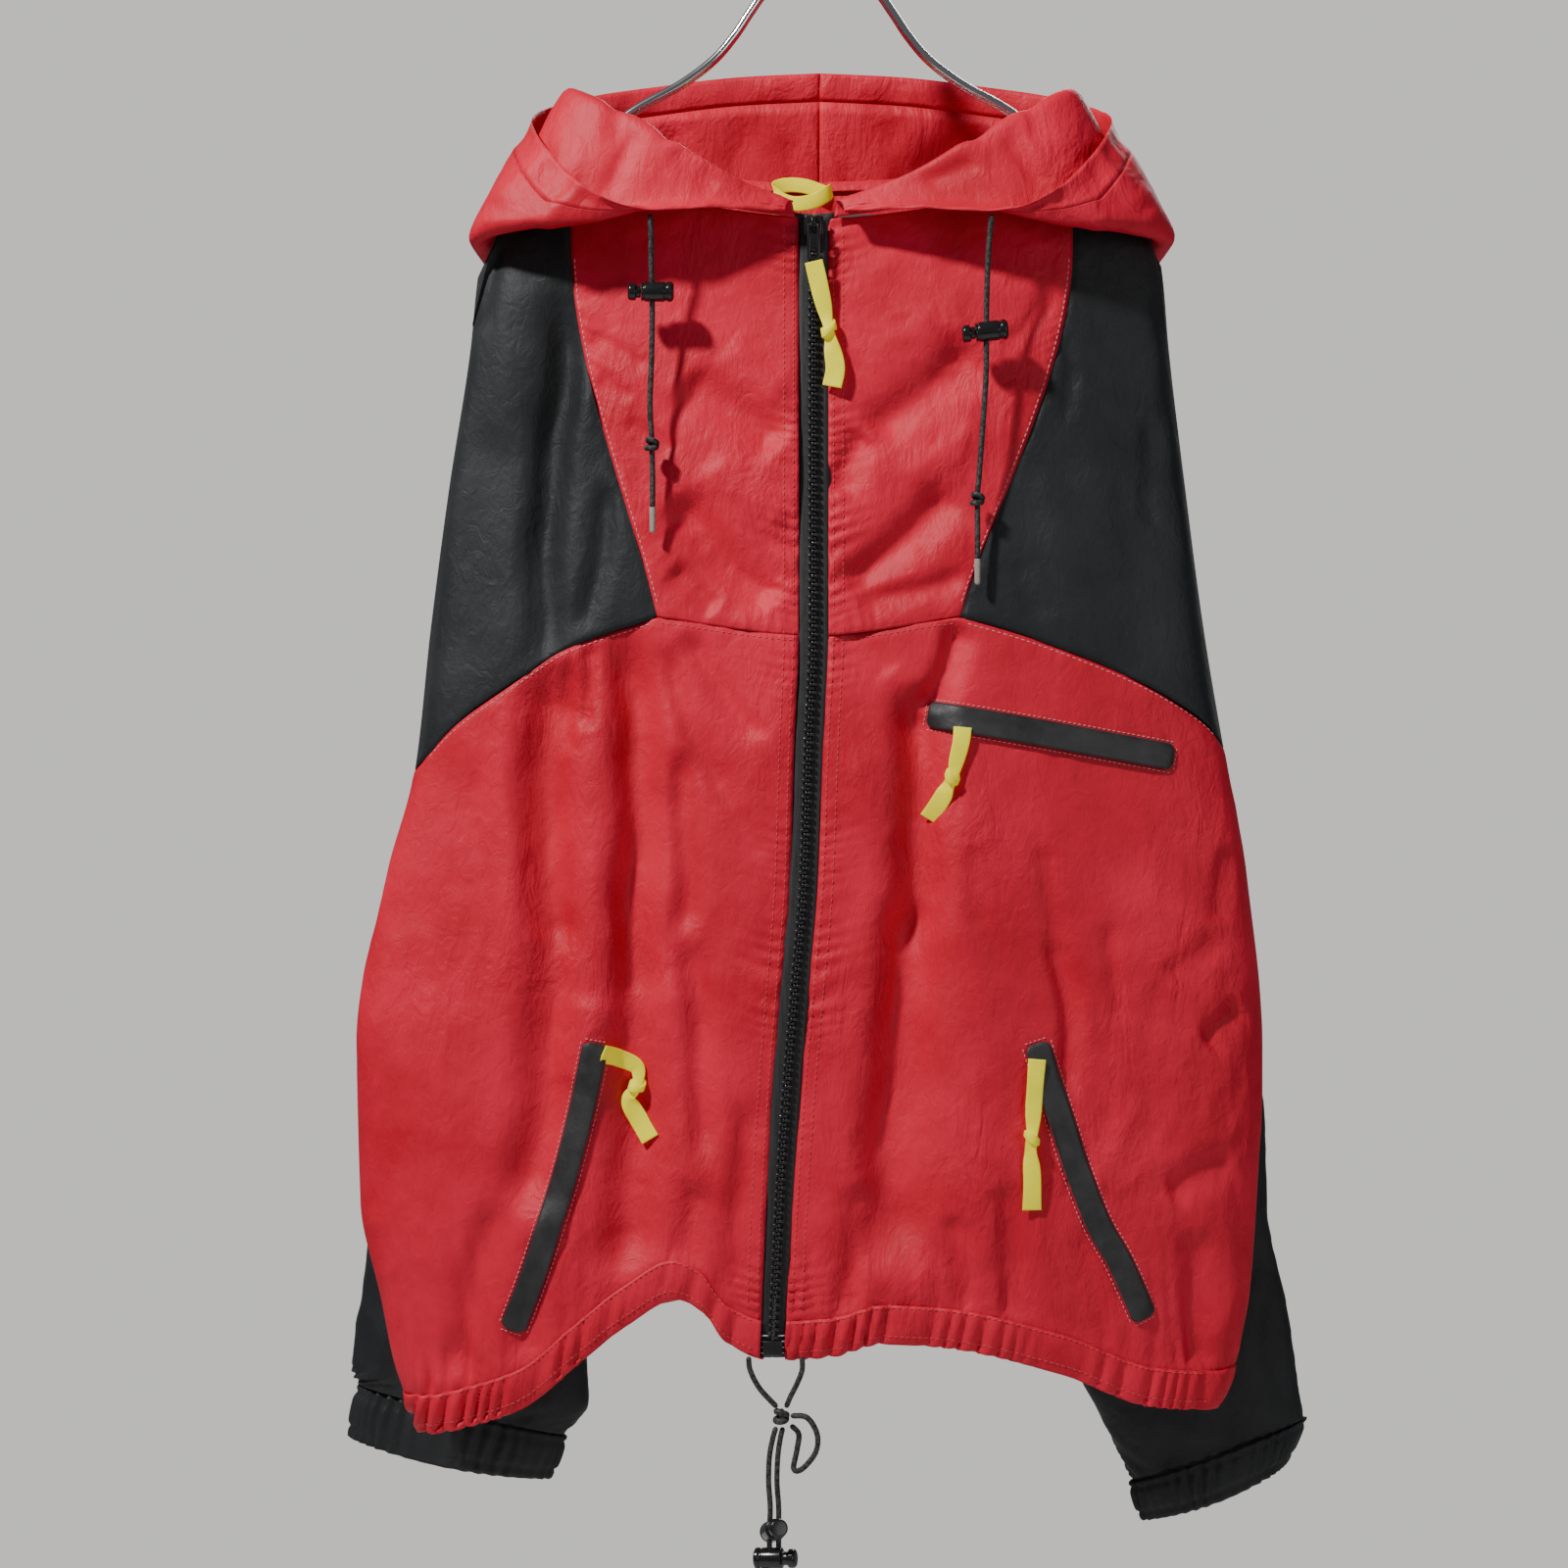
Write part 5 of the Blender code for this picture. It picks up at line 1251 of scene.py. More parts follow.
def along_guides(guides, place):
    """Point of the smooth curve through the guides, where a whole number is a guide."""
    k = min(int(place), len(guides) - 2)
    t = place - k
    p1, p2 = guides[k], guides[k + 1]
    p0 = guides[k - 1] if k else p1 * 2 - p2
    p3 = guides[k + 2] if k + 2 < len(guides) else p2 * 2 - p1
    m1, m2 = (p2 - p0) * 0.4, (p3 - p1) * 0.4
    return ((2 * t ** 3 - 3 * t ** 2 + 1) * p1 + (t ** 3 - 2 * t ** 2 + t) * m1
            + (3 * t ** 2 - 2 * t ** 3) * p2 + (t ** 3 - t ** 2) * m2)


def mirrored(point):
    """A point of the right half on the left half, moved near the zip, which is off the middle."""
    shift = 10 * max(0.0, 1 + point.x / 120) * min(max(-point.y / 20, 0.0), 1.0)
    return Vector((-point.x - shift, point.y, point.z))


# %% Hood and its casing
HOOD_AROUND = 150
STEPS = [5, 5, 8, 8, 8, 22, 6]          # rows in each span between guides


def hood_grid():
    """The right half's surface: rows run round the neck, columns from the neck seam to the rim."""
    grid = []
    for i in range(HOOD_AROUND + 1):
        guides = hood_guides(i / HOOD_AROUND)
        band = min(RIM_BAND / (guides[-1] - guides[-2]).length, 0.55)
        stops = [0.0]
        for k, steps in enumerate(STEPS[:5]):
            stops += [k + (n + 1) / steps for n in range(steps)]
        stops += [5 + (1 - band) * (n + 1) / STEPS[5] for n in range(STEPS[5])]
        stops += [6 - band + band * (n + 1) / STEPS[6] for n in range(STEPS[6])]
        grid.append([tuple(along_guides(guides, stop)) for stop in stops])
    return np.array(grid)


HOOD_SEWN = [("first", 1.0, 0.9, 9.0, 9.0), ("top", 0.5, 0.3, 7.0, 6.0), ("foot", 0.9, 0.5, 11.0, 9.0)]
HOOD_FOLDS = [
    (-60, -256, -92, -236, 5, 1.6), (-112, -222, -134, -262, 5, 1.8), (-160, -228, -196, -270, 6, 2.0),
    (-185, -215, -205, -285, 7, 1.6), (-40, -190, -60, -235, 7, 2.0), (-96, -195, -88, -232, 7, 2.2),
    (-20, -200, -14, -236, 6, 1.4), (-120, -190, -128, -232, 6, 2.0), (-144, -250, -170, -284, 5, 1.6),
]
right_hood = hood_grid()
split = right_hood.shape[1] - 1 - STEPS[6]
for hand, word in ((-1, "right"), (1, "left")):
    cloth = right_hood.copy()
    if hand > 0:
        cloth = np.array([[tuple(mirrored(Vector(p))) for p in row] for row in cloth])
    folds = [(hand * -row[0], row[1], hand * -row[2]) + row[3:] for row in HOOD_FOLDS]
    cloth = relieved(cloth, hand, folds, HOOD_SEWN, seed=31 + hand, depth=0.45)
    cloth[-1, :, 0] = 0.0          # both halves meet at the centre seam
    rim = cloth[:, split:].copy()
    channel = np.sin(np.pi * np.linspace(0, 1, rim.shape[1]))[None, :, None]
    ripple = 0.5 * np.sin(np.arange(rim.shape[0]) * 0.9)[:, None, None]
    rim = rim + normals_of(rim) * hand * channel * (1.3 + ripple)
    rim[-1, :, 0] = 0.0
    panel("hood_half_" + word, facing([cloth[:, :split + 1]], hand), RED_NYLON, ["hood_" + word], "red_nylon")
    panel("hood_rim_" + word, facing([rim], hand), RED_NYLON, ["hood_casing_" + word], "red_nylon")

# %% [markdown]
# ## Laying things on the cloth
# Welts, ribbons and thread lie on the crumpled cloth, not on the smooth surface that
# it started from. A ray from the front finds the cloth's own height at any place.

# %% Height of the finished cloth
def cloth_tree(*names):
    """Search tree over the faces of finished panels, in millimetres."""
    points, faces = [], []
    for name in names:
        mesh = bpy.data.objects[name].data
        first = len(points)
        points += [v.co / MM for v in mesh.vertices]
        faces += [[first + i for i in p.vertices] for p in mesh.polygons]
    return BVHTree.FromPolygons(points, faces)


FRONT = {"right": cloth_tree("front_panel_right", "chest_panel_right", "hem_casing_right",
                             "sleeve_panel_right"),
         "left": cloth_tree("front_panel_left", "chest_panel_left", "hem_casing_left", "sleeve_panel_left")}


def on_cloth(x, z, off, word=None):
    """Point a distance in front of the cloth at x and height z."""
    word = word or ("left" if x > zip_x(z) else "right")
    met = FRONT[word].ray_cast(Vector((x, -200, z)), Vector((0, 1, 0)))[0]
    here = met or Vector(body_point(x, z, -1))
    return here - Vector((0, off, 0))


# %% [markdown]
# ## Ribbon pulls
# Each zip pull has a loop of bright ribbon tied with an overhand knot. At the knot the
# ribbon rolls into a cord, and a turn of it wraps round. Below, its cut end fans out.

# %% Ribbons
def ribbon_finish():
    finish, tree, shader = new_finish("yellow_ribbon", (0.95, 0.86, 0.02), 0.55, sheen=0.3)
    place = place_on(tree)
    soft = texture(tree, "ShaderNodeTexNoise", place, Scale=90.0, Detail=3.0)
    uneven_colour(tree, shader, soft.outputs["Fac"], (0.95, 0.80, 0.008), (1.0, 0.95, 0.012))
    # The ribbon also glows faintly. This is a painted glow: emission that brightens its yellow, though the
    # ribbon is no lamp.
    shader.inputs["Emission Color"].default_value = (1.0, 0.88, 0.01, 1)
    shader.inputs["Emission Strength"].default_value = 0.14
    weave = texture(tree, "ShaderNodeTexNoise", place_on(tree, (0.6, 0.6, 4.0)), Scale=900.0, Detail=1.0)
    raise_by(tree, shader, [(soft.outputs["Fac"], 0.35, 0.0012), (weave.outputs["Fac"], 0.3, 0.0003)])
    return finish


RIBBON = ribbon_finish()
RIBBON_SAMPLES = 90
# x, height and distance in front of the cloth, from the slider to the cut end
ZIP_RIBBON = [(-5, -301, 10), (-1, -318, 7), (2, -331, 5), (4, -341, 5), (6, -352, 5), (8, -365, 5),
              (6, -376, 4)]
CHEST_RIBBON = [(84, -581, 3.4), (83, -590, 3.6), (80, -602, 4), (78, -610, 4), (72, -623, 3),
                (64, -636, 1.8)]
HAND_RIBBON_RIGHT = [(-131, -776, 3.4), (-122, -779, 3.4), (-111, -785, 3), (-111, -796, 4), (-116, -804, 4),
                     (-110, -816, 3), (-103, -828, 1.8)]
HAND_RIBBON_LEFT = [(128, -779, 3.4), (127, -792, 3.4), (126, -806, 3), (125, -822, 4), (124, -833, 4),
                    (125, -850, 3), (125, -869, 1.8)]
RIBBON_HALF = 5.3         # half width where it lies flat
WAIST_HALF = 3.1          # half width where the knot gathers it
RIBBON_HALF_THICK = 0.5
WRAP_STEPS = 28           # points round the knot, and round the ribbon's own edge
WRAP_SIDES = 8


def wrap_turn(line, k, tilt):
    """One turn of ribbon round the knot, as a closed band."""
    here = line[k]
    ahead = (line[k + 2] - line[k - 2]).normalized()
    across = Vector((0, 1, 0)).cross(ahead).normalized()
    out = ahead.cross(across)
    points, faces = [], []
    for i in range(WRAP_STEPS):
        angle = 2 * math.pi * i / WRAP_STEPS
        spoke = across * math.cos(angle) + out * math.sin(angle)
        centre = here + across * 4.3 * math.cos(angle) + out * 3.3 * math.sin(angle)
        centre += ahead * (2.1 * math.cos(angle + tilt))
        half = 2.7 + 0.7 * math.cos(angle * 2 + tilt)
        for j in range(WRAP_SIDES):
            turn = 2 * math.pi * (j + 0.5) / WRAP_SIDES
            points.append(centre + ahead * half * squared(math.cos(turn), 0.4)
                          + spoke * 0.75 * math.sin(turn))
    for i in range(WRAP_STEPS):
        here_row, next_row = i * WRAP_SIDES, (i + 1) % WRAP_STEPS * WRAP_SIDES
        for j in range(WRAP_SIDES):
            beside = (j + 1) % WRAP_SIDES
            faces.append([here_row + j, here_row + beside, next_row + beside, next_row + j])
    return points, faces


def ribbon(name, line, knot, node, body="jacket", tilt=0.6):
    widths, depths, turns = [], [], []
    for k in range(len(line)):
        u = k / (len(line) - 1)
        near = math.exp(-((u - knot) / 0.06) ** 2)
        waist = math.exp(-((u - knot) / 0.13) ** 2)
        fan = 1 + 0.12 * max(0.0, (u - knot) / (1 - knot)) ** 2
        widths.append(mix(RIBBON_HALF * fan, WAIST_HALF, waist) * (1 + 0.05 * math.sin(9 * u + tilt)))
        depths.append(mix(RIBBON_HALF_THICK, 2.1, near))
        turns.append(0.5 * math.exp(-((u - knot - 0.09) / 0.07) ** 2) + 0.16 * math.sin(7 * u + tilt))
    k = int(knot * (len(line) - 1))
    shape = joined(strip(line, widths, depths, turns), wrap_turn(line, k, tilt))
    return shaped(name, shape, RIBBON, body=body, nodes=[node], slot="yellow_ribbon")


def ribbon_line(table, word=None):
    if word:
        route = [tuple(on_cloth(x, z, off + 0.6, word)) for x, z, off in table]
    else:
        route = [(x, body_point(x, z, -1)[1] - off, z) for x, z, off in table]
    return flowing(route, RIBBON_SAMPLES)


ribbon("main_zip_ribbon", ribbon_line(ZIP_RIBBON), 0.54, "zip_ribbon", "zip_pull", 0.6)
ribbon("chest_pull", ribbon_line(CHEST_RIBBON, "left"), 0.50, "chest_pocket_ribbon", tilt=2.4)
ribbon("hand_pull_right", ribbon_line(HAND_RIBBON_RIGHT, "right"), 0.50, "hand_pocket_ribbon_right", tilt=1.4)
ribbon("hand_pull_left", ribbon_line(HAND_RIBBON_LEFT, "left"), 0.52, "hand_pocket_ribbon_left", tilt=3.0)
LOOP = [(2, 18.2, -249.5), (-10, 18, -245.5), (-22, 17.4, -245), (-28.5, 14.5, -248.5), (-26, 10.8, -254.5),
        (-16, 9.2, -258), (-4, 10.2, -256), (4, 13, -251), (6.5, 16.5, -248.5)]
LOOP_HALF = 4.6
LOOP_SIDES = 10
line = flowing(LOOP, 70)
points = []
for k, here in enumerate(line):
    ahead = heading(line, k)
    across = ahead.cross(Vector((0, 0, 1))).normalized()
    up = across.cross(ahead).normalized()
    for i in range(LOOP_SIDES):
        angle = 2 * math.pi * (i + 0.5) / LOOP_SIDES
        points.append(here + up * LOOP_HALF * squared(math.cos(angle), 0.35)
                      + across * RIBBON_HALF_THICK * math.sin(angle))
shaped("neck_loop", (points, tube_faces(len(line), LOOP_SIDES)), RIBBON, nodes=["hang_loop"],
       slot="yellow_ribbon")

# %% [markdown]
# ## Pocket welts
# A welt is a folded strip of black cloth that covers the pocket's zip. It is sewn down
# on three sides and free along one, where it stands a little off and casts a shadow.

# %% Welts
def welt_finish():
    finish, tree, shader = new_finish("welt_nylon", (0.022, 0.022, 0.024), 0.52, sheen=0.15)
    wide = texture(tree, "ShaderNodeTexNoise", place_on(tree), Scale=60.0, Detail=5.0, Roughness=0.6)
    uneven_colour(tree, shader, wide.outputs["Fac"], (0.013, 0.013, 0.014), (0.036, 0.036, 0.038))
    uneven_gloss(tree, shader, wide.outputs["Fac"], 0.44, 0.62)
    weave = texture(tree, "ShaderNodeTexNoise", place_on(tree), Scale=1400.0, Detail=2.0)
    raise_by(tree, shader, [(wide.outputs["Fac"], 0.5, 0.002), (weave.outputs["Fac"], 0.2, 0.0003)])
    return finish


WELT = welt_finish()
# Centre line x and height, half width; which edge is free (+1 is the one anticlockwise of the route)
CHEST_WELT = ([(64, -573), (112, -581), (162, -590), (212, -599)], 7.8, -1)
HAND_WELT_RIGHT = ([(-135, -770), (-143, -807), (-152, -843), (-163, -879), (-173, -909), (-186, -943)],
                   7.4, 1)
HAND_WELT_LEFT = ([(128, -770), (142, -814), (152, -845), (165, -878), (178, -901), (194, -936)], 7.4, -1)
WELT_CORNER = 4.0     # radius of its corners
WELT_OFF = 0.9        # its inner face in front of the cloth
WELT_SLACK = 1.8      # how much further its free edge stands off


def welt_line(route, samples):
    return flowing([(x, 0, z) for x, z in route], samples)


def beside_line(ahead):
    """Direction square to a line in the plane of the front, anticlockwise of it."""
    return Vector((-ahead.z, 0, ahead.x))


def welt(name, word, table, node):
    route, half, free = table
    line = welt_line(route, 110)
    run = (line[-1] - line[0]).length
    grid = []
    for k, here in enumerate(line):
        across = beside_line(heading(line, k))
        u = k / (len(line) - 1)
        from_end = min(u, 1 - u) * run
        cut = max(0.0, 1 - from_end / WELT_CORNER)
        wide = half - WELT_CORNER * (1 - math.sqrt(max(1 - cut * cut, 0.0)))
        row = []
        for i in range(13):
            v = -1 + i / 6
            spot = here + across * wide * v
            slack = max(v * free, 0.0) ** 1.5 * min(from_end / 16, 1.0)
            belly = 1.0 * (1 - abs(v) ** 4) * min(from_end / 3, 1.0)
            wave = 0.35 * math.sin(k * 0.31 + 2 * v) * noise.noise(spot / 19.0)
            off = WELT_OFF + belly + WELT_SLACK * slack + wave
            row.append(tuple(on_cloth(spot.x, spot.z, off, word)))
        grid.append(row)
    return panel(name, [np.array(grid)], WELT, [node], "welt_nylon", thick=0.7)


welt("chest_welt", "left", CHEST_WELT, "chest_pocket_welt")
welt("hand_welt_right", "right", HAND_WELT_RIGHT, "hand_pocket_welt_right")
welt("hand_welt_left", "left", HAND_WELT_LEFT, "hand_pocket_welt_left")

# %% [markdown]
# ## Moulded zip
# The zip's tapes are woven with ribs along them. Each plastic tooth is moulded onto its
# tape: a stem that ends in a wider head. The two rows sit half a pitch apart, so that
# each head drops between two heads of the other row.

# %% Zip tapes
def tape_finish():
    finish, tree, shader = new_finish("zip_tape", (0.016, 0.016, 0.017), 0.62, sheen=0.2)
    place = place_on(tree, (1.0, 1.0, 0.02))
    ribs = texture(tree, "ShaderNodeTexNoise", place, Scale=1500.0, Detail=1.0)
    uneven_colour(tree, shader, ribs.outputs["Fac"], (0.010, 0.010, 0.011), (0.030, 0.030, 0.032))
    weave = texture(tree, "ShaderNodeTexNoise", place_on(tree, (1.0, 1.0, 3.0)), Scale=900.0, Detail=1.0)
    raise_by(tree, shader, [(ribs.outputs["Fac"], 0.5, 0.0004), (weave.outputs["Fac"], 0.4, 0.0003)])
    return finish


TAPE = tape_finish()
ZIP_TOP = -271.0
ZIP_FOOT = -958.0
TOOTH_PITCH = 5.0
TOOTH_RISE = 1.5       # how far the teeth stand in front of the tape
TAPE_ROWS = 180
TAPE_COLUMNS = 8
UNDER_EDGE = 2.4       # the tape goes on this far under the cloth's edge


def zip_frame(z):
    """Point on the zip's line with its directions across the zip, down along it, and out."""
    def at(h):
        return Vector(body_point(zip_x(h), h, -1))
    here = at(z)
    down = (at(z - 3) - at(z + 3)).normalized()
    over = (Vector(body_point(here.x + 3, z, -1)) - Vector(body_point(here.x - 3, z, -1))).normalized()
    out = over.cross(-down).normalized()
    out *= -1 if out.y > 0 else 1
    return here, over, down, out


for hand, word in ((-1, "right"), (1, "left")):
    grid = []
    for j in range(TAPE_ROWS + 1):
        z = mix(ZIP_TOP, ZIP_FOOT, j / TAPE_ROWS)
        here, over, down, out = zip_frame(z)
        wide = tape_half(z) + UNDER_EDGE
        flare = max(0.0, 1 - (ZIP_TOP - z) / 9) ** 2
        row = []
        for i in range(TAPE_COLUMNS + 1):
            u = i / TAPE_COLUMNS
            rib = 0.22 * math.exp(-((u - 0.22) / 0.07) ** 2)
            sink = 3.4 * max(0.0, (u - 0.68) / 0.32) ** 1.5
            spot = (here + over * hand * (0.04 + u * wide * (1 + 0.5 * flare))
                    + out * (rib - sink - 0.1 + 1.5 * flare))
            row.append(tuple(spot + Vector((0, 0, 1.2 * flare * u))))
        grid.append(row)
    panel("zip_tape_" + word + "_woven", facing([np.array(grid)], -hand), TAPE, ["zip_tape_" + word],
          "zip_tape", thick=0.6)

# %% Zip teeth
# Outline of a tooth from its stem to its head: across the zip, along the zip
TOOTH = [(-3.4, -0.95), (-1.0, -1.0), (-0.5, -0.6), (0.3, -0.62), (0.75, -1.2), (1.35, -1.15), (1.6, 0.0),
         (1.35, 1.15), (0.75, 1.2), (0.3, 0.62), (-0.5, 0.6), (-1.0, 1.0), (-3.4, 0.95)]
# Height in the tooth, scale of its outline there
LEVELS = [(-1.1, 0.86), (-0.6, 1.0), (0.5, 1.0), (1.1, 0.9), (1.35, 0.68)]
TEETH_TOP = -288.0


def tooth(z, hand):
    here, over, down, out = zip_frame(z)
    points = []
    for level, scale in LEVELS:
        for a, b in TOOTH:
            across = -0.9 + (a + 0.9) * scale
            points.append(here + over * -hand * across + down * b * scale + out * (TOOTH_RISE + level))
    return points, tube_faces(len(LEVELS), len(TOOTH))


teeth = []
z = TEETH_TOP
while z > ZIP_FOOT + 13:
    teeth += [tooth(z, -1), tooth(z - TOOTH_PITCH / 2, 1)]
    z -= TOOTH_PITCH
shaped("zip_teeth", joined(*teeth), MOULDED, nodes=["zip_chain"], slot="zip_moulded")
print(len(teeth), "teeth")

# %% [markdown]
# ## Slider, pull tab and bottom box
# The slider is two plates joined at their top by a diamond, with an arch on the front
# that the pull tab hangs from. The tab is a thin moulded plate with a slot for the
# ribbon. The bottom box is where both tapes end; a row of stitches bars it off.

# %% Slider and box
def moulded_block(centre, size, bevel, segments=3, taper=1.0):
    """Rounded block as (points, faces); taper narrows its foot."""
    bm = bmesh.new()
    bmesh.ops.create_cube(bm, size=1.0)
    bmesh.ops.scale(bm, vec=size, verts=bm.verts)
    for v in bm.verts:
        if v.co.z < 0:
            v.co.x *= taper
    bmesh.ops.bevel(bm, geom=bm.edges[:], offset=bevel, segments=segments, affect="EDGES", profile=0.5)
    points = [v.co + Vector(centre) for v in bm.verts]
    bm.verts.index_update()
    faces = [[v.index for v in f.verts] for f in bm.faces]
    bm.free()
    return points, faces


y = body_point(-5, -279, -1)[1]
arch = flowing([(-5, y - 7.0, -273.6), (-5, y - 9.4, -275.2), (-5, y - 9.7, -278.5), (-5, y - 9.0, -281.4),
                (-5, y - 7.2, -283)], 20)
slider = joined(moulded_block((-5, y - 6.4, -279), (11.4, 2.4, 12.8), 1.1, taper=0.82),
                moulded_block((-5, y - 1.9, -279), (11.0, 1.6, 12.4), 0.7, taper=0.82),
                moulded_block((-5, y - 4.0, -275), (3.4, 4.6, 4.6), 0.9),
                moulded_block((-10.2, y - 5.0, -278.6), (1.3, 2.6, 11.0), 0.5),
                moulded_block((0.2, y - 5.0, -278.6), (1.3, 2.6, 11.0), 0.5),
                strip(arch, [1.5] * 20, [0.8] * 20, square=0.7))
shaped("zip_slider_body", slider, LOCK, nodes=["zip_slider"], slot="zip_moulded")

tab_y = y - 10.75
tab = []
for side in (-1, 1):
    tab.append(moulded_block((-5 + side * 2.9, tab_y, -289), (2.2, 2.0, 21.6), 0.8))
for height, tall in ((-279.2, 2.2), (-288.5, 8.5), (-298.9, 2.0)):
    tab.append(moulded_block((-5, tab_y, height), (5.2, 1.7, tall), 0.6))
shaped("pull_tab_plate", joined(*tab), LOCK, body="zip_pull", nodes=["zip_pull_tab"], slot="zip_moulded")

foot = body_point(-30, -952, -1)[1]
box_x = zip_x(-952)
box = joined(moulded_block((box_x, foot - 2.0, -952), (11.5, 3.2, 9.0), 0.8),
             moulded_block((box_x - 2.6, foot - 3.5, -952), (1.2, 0.8, 7.4), 0.3),
             moulded_block((box_x + 2.6, foot - 3.5, -952), (1.2, 0.8, 7.4), 0.3))
shaped("zip_box", box, MOULDED, nodes=["zip_bottom_box"], slot="zip_moulded")

# %% [markdown]
# ## The wire hanger
# Two bright wires run side by side from a collar below the hook, out to the shoulders
# and back along the bar inside the jacket. Chrome needs only a low roughness that
# varies a little, and something pale round it to mirror.

# %% Hanger
def chrome_finish():
    finish, tree, shader = new_finish("hanger_chrome", (0.78, 0.78, 0.79), 0.12, metallic=1.0)
    smear = texture(tree, "ShaderNodeTexNoise", place_on(tree), Scale=45.0, Detail=4.0)
    uneven_gloss(tree, shader, smear.outputs["Fac"], 0.07, 0.20)
    raise_by(tree, shader, [(smear.outputs["Fac"], 0.10, 0.0004)])
    return finish


CHROME = chrome_finish()
WIRE = 2.4
WIRE_SIDES = 20
WIRE_SPREAD = 3.0
HOOK = [(-25, -44), (-26.6, -30), (-24.5, -14), (-13, -1.2), (0, 2.6), (13, -1.2), (24.5, -14), (26.6, -30),
        (21, -46), (9, -58), (1.5, -70), (0, -91.6)]
ARM = [(3.4, -114.9), (5, -117.5), (18, -121), (33, -129), (43, -142), (53, -157), (66, -172), (86, -187),
       (119, -206.2), (147, -233.7), (162, -256), (169, -268), (167, -274), (158, -275), (130, -273)]


def wire(name, route, node, samples, end_round=True):
    line = flowing(route, samples)
    widths = [WIRE] * samples
    if end_round:
        for k, share in enumerate((0.35, 0.75, 0.95)):
            widths[k] = WIRE * share
    points = []
    for k, (here, _, side, other) in enumerate(frames_along(line)):
        for i in range(WIRE_SIDES):
            angle = 2 * math.pi * i / WIRE_SIDES
            points.append(here + (side * math.cos(angle) + other * math.sin(angle)) * widths[k])
    shaped(name, (points, tube_faces(samples, WIRE_SIDES)), CHROME, nodes=[node], slot="hanger_chrome")


wire("hook_wire", [(x, 0, z) for x, z in HOOK], "hanger_hook", 150)
for word, y in (("front", -WIRE_SPREAD), ("back", WIRE_SPREAD)):
    right = [(-x, y, z) for x, z in ARM]
    left = [(x, y, z) for x, z in reversed(ARM)]
    route = right + [(-70, y, -270), (0, y, -269), (70, y, -270)] + left
    wire("arm_wire_" + word, route, "hanger_wire_" + word, 420, end_round=False)
collar = [(0.5, -91.9), (6.4, -92), (8.0, -93), (8.2, -95), (7.7, -97), (7.7, -107), (8.2, -109), (8.0, -111),
          (7.2, -112), (0.5, -112.1)]
shaped("wire_collar", turned(rounded(collar, 0.6), (0, 0, 0), (0, 0, 1), 48), CHROME,
       nodes=["hanger_collar"], slot="hanger_chrome")

# %% [markdown]
# ## Stitching
# Thread is geometry too: each stitch is a short bead that dips into the cloth at both
# ends. All the stitches of one colour of one panel are a single mesh. They follow the
# crumpled cloth, found by the same ray as before.

# %% Thread
def thread_finish(name, colour):
    finish, tree, shader = new_finish(name, colour, 0.6, sheen=0.2)
    twist = texture(tree, "ShaderNodeTexNoise", place_on(tree), Scale=3000.0, Detail=1.0)
    raise_by(tree, shader, [(twist.outputs["Fac"], 0.3, 0.0002)])
    return finish


RED_THREAD = thread_finish("red_thread", (0.66, 0.05, 0.07))
PINK_THREAD = thread_finish("pink_thread", (0.80, 0.30, 0.32))
WHITE_THREAD = thread_finish("white_thread", (0.75, 0.75, 0.74))
# A stitch's four rings: share of its length, place off the cloth, and thickness
STITCH_PLACES = (0.0, 0.25, 0.75, 1.0)
STITCH_RISES = (-0.25, 0.12, 0.12, -0.25)
STITCH_SIZES = (0.6, 1.0, 1.0, 0.6)
STITCH_SIDES = 6


def stitches(line, length=2.6, space=1.1, thick=0.3):
    """Beads of thread along a line of points that lie on the cloth."""
    points, faces = [], []
    run = [0.0]
    for a, b in zip(line, line[1:]):
        run.append(run[-1] + (b - a).length)
    count = int(run[-1] / (length + space))
    place = 0
    for n in range(count):
        spots = []
        for t in STITCH_PLACES:
            want = (n + 0.2) * (length + space) + t * length
            while place < len(run) - 2 and run[place + 1] < want:
                place += 1
            back = place
            while back > 0 and run[back] > want:
                back -= 1
            share = (want - run[back]) / max(run[back + 1] - run[back], 1e-6)
            spots.append(line[back].lerp(line[back + 1], min(max(share, 0), 1)))
        ahead = (spots[3] - spots[0]).normalized()
        out = Vector((0, -1, 0))
        side = ahead.cross(out).normalized()
        out = side.cross(ahead).normalized()
        first = len(points)
        for spot, rise, size in zip(spots, STITCH_RISES, STITCH_SIZES):
            for i in range(STITCH_SIDES):
                angle = math.pi * i / (STITCH_SIDES / 2)
                points.append(spot + out * (rise + thick * size * math.sin(angle))
                              + side * thick * size * math.cos(angle))
        faces += tube_faces(len(STITCH_PLACES), STITCH_SIDES, first)
    return points, faces


def on_front(route, word=None, off=0.05, samples=160):
    """A line of x and height laid on the front's cloth."""
    return [on_cloth(p.x, p.z, off, word) for p in flowing([(x, 0, z) for x, z in route], samples)]


def sewn(name, parts, finish, body="jacket"):
    piece = shaped(name, joined(*parts), finish, body=body)
    print(name, len(piece.data.polygons), "faces")


def between(first, last, steps):
    return [mix(first, last, k / steps) for k in range(steps + 1)]


